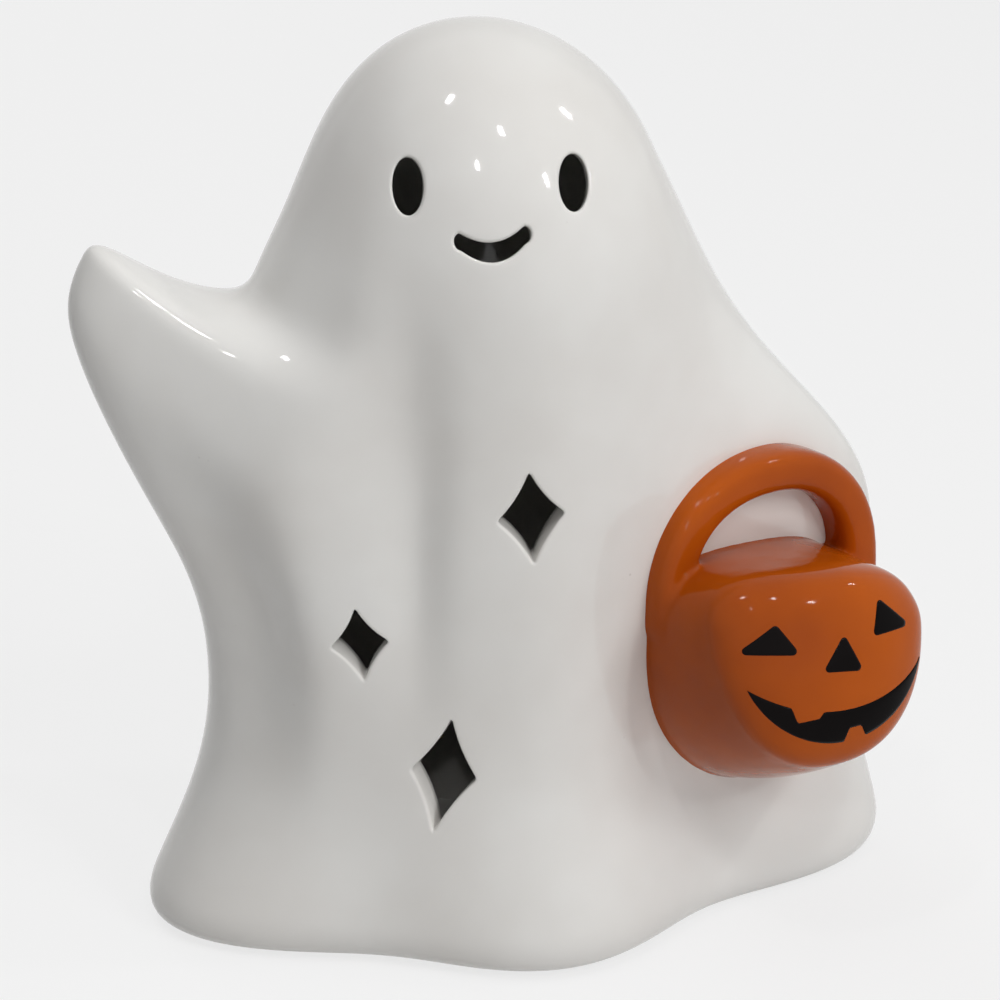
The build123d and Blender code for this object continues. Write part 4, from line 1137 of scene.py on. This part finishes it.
def cell_finish(name, jacket, band):
    """Plain cell jacket: dark along most of the can, with a metallic band at one end."""
    material, tree, shader = new_finish(name, Coat_Weight=0.4, Coat_Roughness=0.15)
    haze = effect(tree, "metal haze", metal_haze_group)
    edge = node_middle("battery_cells")[0] + CELL_BAND_FROM
    banded = place_mask(tree, "X", edge, edge + CELL_BAND_EDGE)
    colour = mix_colour(tree, banded, jacket, band)
    colour = mix_colour(tree, spread_value(tree, haze["Haze"], 0.0, 0.2), colour, shade(band, 0.6))
    feed(tree, shader, Base_Color=colour, Roughness=spread_value(tree, haze["Scratches"], 0.22, 0.4),
         Metallic=spread_value(tree, banded, 0.2, 0.9))
    return material


def lamp_finish(name, colour):
    """Warm milky lamp lens with tinned pins under it."""
    material, tree, shader = new_finish(name, IOR=1.5, Coat_Weight=0.3, Subsurface_Weight=0.2,
                                        Subsurface_Scale=1.0 * MM)
    grain = effect(tree, "moulded grain", moulded_grain_group, Grain_Scale=700.0)
    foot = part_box("leds")[0].z
    body = place_mask(tree, "Z", *(foot + end for end in LAMP_PINS_END))
    lens = mix_colour(tree, grain["Tone"], shade(colour, 0.9), colour)
    feed(tree, shader, Base_Color=mix_colour(tree, body, TINNED, lens),
         Metallic=spread_value(tree, body, 1.0, 0.0),
         Roughness=spread_value(tree, grain["Grain"], 0.12, 0.25))
    return material


# What a user may change

def metres(name, description, default):
    """Length property in metres."""
    return bpy.props.FloatProperty(name=name, description=description, default=default, min=0.0,
                                   unit="LENGTH", subtype="DISTANCE", precision=4)


def tint(name, description, default):
    """Colour property."""
    return bpy.props.FloatVectorProperty(name=name, description=description, default=default, size=3,
                                         min=0.0, max=1.0, subtype="COLOR")


class GhostSizes(bpy.types.PropertyGroup):
    """Sizes of the ceramic's softer forms."""
    cut_edge: metres("Cut edge", "Radius of the glazed edge round each cut-out", 0.7 * MM)
    drape: bpy.props.FloatProperty(name="Drape", description="Share of the soft folds in the drape",
                                   default=1.0, min=0.0, max=2.0, subtype="FACTOR")
    pail_fillet: metres("Pail fillet", "Radius of the hollow where the pail meets the ghost", 1.4 * MM)
    handle_half_width: metres("Handle half width", "Half the width of the handle's band", 4.7 * MM)
    handle_half_depth: metres("Handle half depth", "Half the depth of the handle's band", 6.2 * MM)
    face_proud: metres("Face proud", "How far the black glaze stands off the pail", 0.16 * MM)


class GhostColours(bpy.types.PropertyGroup):
    """Colours of the finishes."""
    white: tint("White glaze", "White glaze where it is thick", (0.80, 0.79, 0.765))
    white_thin: tint("Thin white glaze", "White glaze where it is thin", (0.74, 0.72, 0.69))
    bisque: tint("Bisque", "Unglazed clay under the foot", (0.55, 0.50, 0.44))
    # The inside's near-black colour is painted shade: the unglazed clay is pale, and it is darkened so the
    # hollow looks black through the cut-outs
    inside: tint("Inside", "Unglazed inside of the shell, dark through the cut-outs", (0.002, 0.0016, 0.0016))
    orange: tint("Orange glaze", "Orange glaze where it is thick", (0.46, 0.086, 0.003))
    orange_thin: tint("Thin orange glaze", "Orange glaze where it is thin", (0.35, 0.060, 0.003))
    black: tint("Black glaze", "Black glaze of the pail's face", (0.004, 0.003, 0.003))
    plastic: tint("Light unit", "Plastic of the light unit", (0.74, 0.73, 0.70))
    dark_plastic: tint("Dark plastic", "Plastic of the switch", (0.02, 0.02, 0.022))
    rubber: tint("Pads", "Silicone of the foot pads", (0.60, 0.60, 0.58))
    foam: tint("Gasket", "Foam of the gasket", (0.03, 0.03, 0.03))
    mask: tint("Board", "Solder mask of the circuit board", (0.012, 0.12, 0.04))
    laminate: tint("Laminate", "Bare laminate of the circuit board", (0.30, 0.32, 0.12))
    steel: tint("Steel", "Plated steel of the screws", (0.55, 0.55, 0.54))
    nickel: tint("Nickel", "Plating of the contacts and leads", (0.62, 0.59, 0.53))
    jacket: tint("Cell jacket", "Jacket of the cells", (0.03, 0.03, 0.035))
    band: tint("Cell band", "Band at one end of the cells", (0.42, 0.43, 0.45))
    lamp: tint("Lamp", "Lens of the lamps", (0.85, 0.74, 0.46))
    floor: tint("Floor", "Floor and backdrop", (0.62, 0.62, 0.62))


# Pieces

class GHOST_OT_shell(bpy.types.Operator):
    """Builds the hollow glazed shell with its eyes, mouth and diamonds"""
    bl_idname = "ghost.shell"
    bl_label = "Ceramic shell"

    def execute(self, context):
        sizes, colours = context.scene.ghost_sizes, context.scene.ghost_colours
        grid = ShellGrid(sizes)
        for outline, start, axes in cut_outs():
            grid.cut(outline, start, axes)
        piece = mesh_piece("ghost_shell", *grid.close())
        glaze = glaze_finish("white glaze", colours.white[:], colours.white_thin[:], ripple=0.16, mirror=0.5,
                             wiped=colours.bisque[:])
        # The inside finish is painted shade: its near-black colour stands in for the dark of the hollow, not
        # the pale clay
        dress(piece, "white_glaze", glaze, bisque_finish("inside", colours.inside[:]))
        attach(piece, FIGURE)
        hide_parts("ghost_body")
        return {"FINISHED"}


class GHOST_OT_pail(bpy.types.Operator):
    """Builds the pumpkin pail with its handle against the ghost's sleeve"""
    bl_idname = "ghost.pail"
    bl_label = "Pumpkin pail"

    def execute(self, context):
        sizes, colours = context.scene.ghost_sizes, context.scene.ghost_colours
        drum = pail_drum(sizes.pail_fillet)
        handle = pail_handle(sizes.handle_half_width, sizes.handle_half_depth)
        piece = mesh_piece("pail", *join_arrays(drum, handle))
        melt_together(piece)
        glaze = glaze_finish("orange glaze", colours.orange[:], colours.orange_thin[:], ripple=0.5,
                             mirror=0.12)
        dress(piece, "orange_glaze", glaze)
        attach(piece, FIGURE)
        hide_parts("pumpkin_pail")
        return {"FINISHED"}


class GHOST_OT_pail_face(bpy.types.Operator):
    """Builds the black eyes, nose and grin on the pail's front"""
    bl_idname = "ghost.pail_face"
    bl_label = "Pail face"

    def execute(self, context):
        sizes, colours = context.scene.ghost_sizes, context.scene.ghost_colours
        proud = sizes.face_proud
        outlines = [rounded_corners(corners, CORNER_ROUND)
                    for corners in (PAIL_LEFT_EYE, PAIL_RIGHT_EYE, PAIL_NOSE)]
        parts = [glaze_patch(outline, proud) for outline in outlines]
        piece = mesh_piece("pail_face", *join_arrays(*parts, grin_patch(proud)))
        black = colours.black[:]
        glaze = glaze_finish("black glaze", black, shade(black, 1.8), ripple=0.2, mirror=0.04)
        dress(piece, "black_glaze", glaze)
        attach(piece, FIGURE)
        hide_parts("pail_face_glaze")
        return {"FINISHED"}


class GHOST_OT_light_unit(bpy.types.Operator):
    """Finishes the mouldings, pads and gasket of the light unit"""
    bl_idname = "ghost.light_unit"
    bl_label = "Light unit"

    def execute(self, context):
        colours = context.scene.ghost_colours
        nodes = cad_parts
        white = plastic_finish("white plastic", colours.plastic[:], (0.38, 0.55))
        dark = plastic_finish("switch plastic", colours.dark_plastic[:], (0.3, 0.5))
        for name, slot in (("light_base", "base_plastic"), ("base_cover", "cover_plastic"),
                           ("battery_door", "door_plastic")):
            dress(nodes[name], slot, white)
        for name in ("switch_body", "switch_knob"):
            dress(nodes[name], "switch_plastic", dark)
        silicone = plastic_finish("pad silicone", colours.rubber[:], (0.5, 0.7), 1200.0)
        dress(nodes["foot_pads"], "pad_rubber", silicone)
        dress(nodes["base_gasket"], "gasket_foam", bisque_finish("gasket foam", colours.foam[:]))
        return {"FINISHED"}


class GHOST_OT_electrics(bpy.types.Operator):
    """Finishes the board, lamps, cells, contacts, leads and screws inside the light unit"""
    bl_idname = "ghost.electrics"
    bl_label = "Electrics"

    def execute(self, context):
        colours = context.scene.ghost_colours
        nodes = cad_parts
        steel = metal_finish("zinc steel", colours.steel[:], (0.28, 0.45))
        nickel = metal_finish("nickel", colours.nickel[:], (0.2, 0.36))
        epoxy = plastic_finish("chip epoxy", colours.dark_plastic[:], (0.45, 0.6), 3000.0)
        board = board_finish("board", colours.mask[:], colours.laminate[:])
        dress(nodes["led_board"], "board_laminate", board)
        dress(nodes["leds"], "lamp_epoxy", lamp_finish("lamp lens", colours.lamp[:]))
        jacket = cell_finish("cell jacket", colours.jacket[:], colours.band[:])
        dress(nodes["battery_cells"], "cell_jacket", jacket)
        dress(nodes["timer_chip"], "chip_epoxy", epoxy)
        dress(nodes["resistors"], "resistor_body", epoxy)
        for name in ("cover_screws", "board_screws"):
            dress(nodes[name], "screw_steel", steel)
        for name in ("contact_negative", "contact_bridge_left", "contact_bridge_right", "contact_positive"):
            dress(nodes[name], "contact_nickel", nickel)
        dress(nodes["switch_leads"], "lead_tinned", nickel)
        return {"FINISHED"}


class GHOST_OT_stage(bpy.types.Operator):
    """Sets the floor, the lights and the camera"""
    bl_idname = "ghost.stage"
    bl_label = "Stage"

    def execute(self, context):
        scene = context.scene
        floor = stage_floor(scene.ghost_colours.floor[:])
        stage_lights()
        stage_world()
        stage_camera()
        scene.view_settings.view_transform = "Standard"
        return {"FINISHED"}


# Stage

def pale_rays(tree):
    """Socket that is 1 where the camera, a mirrored ray or a ray through a clear body sees the stage."""
    path = tree.nodes.new("ShaderNodeLightPath").outputs
    mirrored = worked_out(tree, "MAXIMUM", path["Is Glossy Ray"], path["Is Transmission Ray"])
    return worked_out(tree, "MAXIMUM", path["Is Camera Ray"], mirrored)


def show_pale(tree, share, lit, pale, output):
    """Mixes a lit and a pale shader by a share and links them to the tree's output."""
    mix = tree.nodes.new("ShaderNodeMixShader")
    for socket, value in zip(mix.inputs, (share, lit.outputs[0], pale.outputs[0])):
        tree.links.new(value, socket)
    tree.links.new(mix.outputs[0], tree.nodes[output].inputs["Surface"])


def stage_floor(colour):
    """Floor that runs up into a backdrop: flat, a quarter circle, then upright."""
    turn = np.linspace(0, np.pi / 2, BACKDROP_STEPS)
    y = np.r_[-FLOOR_HALF, FLOOR_DEPTH + BACKDROP_ROUND * np.sin(turn), FLOOR_DEPTH + BACKDROP_ROUND]
    z = np.r_[0, BACKDROP_ROUND * (1 - np.cos(turn)), BACKDROP_RISE] + FLOOR_LEVEL
    x = np.array((-FLOOR_HALF, FLOOR_HALF))
    points = np.stack(np.broadcast_arrays(x[None], y[:, None], z[:, None]), -1).reshape(-1, 3)
    row = np.arange(len(y) - 1) * 2
    quads = np.stack([row, row + 1, row + 3, row + 2], -1)
    floor = mesh_piece("floor", points, quads, np.zeros((0, 3), int))
    material, tree, shader = new_finish("floor", Roughness=0.9, Specular_IOR_Level=0.1)
    shader.inputs["Base Color"].default_value = (*colour, 1)
    pale = add_node(tree, "ShaderNodeEmission", Color=(1, 1, 1, 1), Strength=1.0)
    share = worked_out(tree, "MULTIPLY", pale_rays(tree), FLOOR_WHITE)
    show_pale(tree, share, shader, pale, "Material Output")
    floor.data.materials.append(material)
    return floor


def stage_lights():
    """Soft boxes round the figure and small lamps for the glints in the glaze."""
    for name, place, (wide, tall), power, mirrored in LIGHTS:
        data = bpy.data.lights.new(name, "AREA")
        data.shape = "RECTANGLE"
        data.size = wide
        data.size_y = tall
        data.energy = power
        lamp = bpy.data.objects.new(name, data)
        lamp.visible_glossy = mirrored
        lamp.location = place
        lamp.rotation_euler = (Vector(LIGHT_AIM) - Vector(place)).to_track_quat("-Z", "Y").to_euler()
        bpy.context.scene.collection.objects.link(lamp)


def stage_world():
    """Even pale surround: white to the camera and in mirrors, and a softer light on the object."""
    world = bpy.data.worlds.new("surround")
    bpy.context.scene.world = world
    world.use_nodes = True
    tree = world.node_tree
    soft = tree.nodes["Background"]
    put_all(tree, soft, {"Color": (1, 1, 1, 1), "Strength": WORLD_LIGHT})
    white = add_node(tree, "ShaderNodeBackground", Color=(1, 1, 1, 1), Strength=1.0)
    show_pale(tree, pale_rays(tree), soft, white, "World Output")


def stage_camera():
    """Camera at the photograph's angle, whose image spans the figure."""
    data = bpy.data.cameras.new("camera")
    data.sensor_width = SENSOR
    data.lens = SENSOR * CAMERA_DISTANCE / CAMERA_SPAN
    back = np.array((np.sin(CAMERA_AZIMUTH) * np.cos(CAMERA_ELEVATION),
                     -np.cos(CAMERA_AZIMUTH) * np.cos(CAMERA_ELEVATION), np.sin(CAMERA_ELEVATION)))
    camera = bpy.data.objects.new("camera", data)
    camera.location = PLACE + CAMERA_TARGET + CAMERA_DISTANCE * back
    camera.rotation_euler = Vector(-back).to_track_quat("-Z", "Y").to_euler()
    bpy.context.scene.collection.objects.link(camera)
    bpy.context.scene.camera = camera


# Add-on

OPERATORS = (GHOST_OT_shell, GHOST_OT_pail, GHOST_OT_pail_face, GHOST_OT_light_unit, GHOST_OT_electrics,
             GHOST_OT_stage)


class GHOST_PT_panel(bpy.types.Panel):
    """Lists the pieces and what may be changed"""
    bl_idname = "GHOST_PT_panel"
    bl_label = "Ceramic ghost light"
    bl_space_type = "VIEW_3D"
    bl_region_type = "UI"
    bl_category = "Ghost"

    def draw(self, context):
        for operator in OPERATORS:
            self.layout.operator(operator.bl_idname)
        for group in (context.scene.ghost_sizes, context.scene.ghost_colours):
            for name in group.__annotations__:
                self.layout.prop(group, name)


CLASSES = (GhostSizes, GhostColours, *OPERATORS, GHOST_PT_panel)


def register():
    """Adds the classes and the scene's settings."""
    for item in CLASSES:
        bpy.utils.register_class(item)
    bpy.types.Scene.ghost_sizes = bpy.props.PointerProperty(type=GhostSizes)
    bpy.types.Scene.ghost_colours = bpy.props.PointerProperty(type=GhostColours)


def unregister():
    """Takes the settings and the classes out again."""
    del bpy.types.Scene.ghost_colours
    del bpy.types.Scene.ghost_sizes
    for item in reversed(CLASSES):
        bpy.utils.unregister_class(item)


def main():
    """Registers the add-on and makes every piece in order."""
    register()
    bpy.ops.ghost.shell()
    bpy.ops.ghost.pail()
    bpy.ops.ghost.pail_face()
    bpy.ops.ghost.light_unit()
    bpy.ops.ghost.electrics()
    bpy.ops.ghost.stage()


if __name__ == "__main__":
    main()
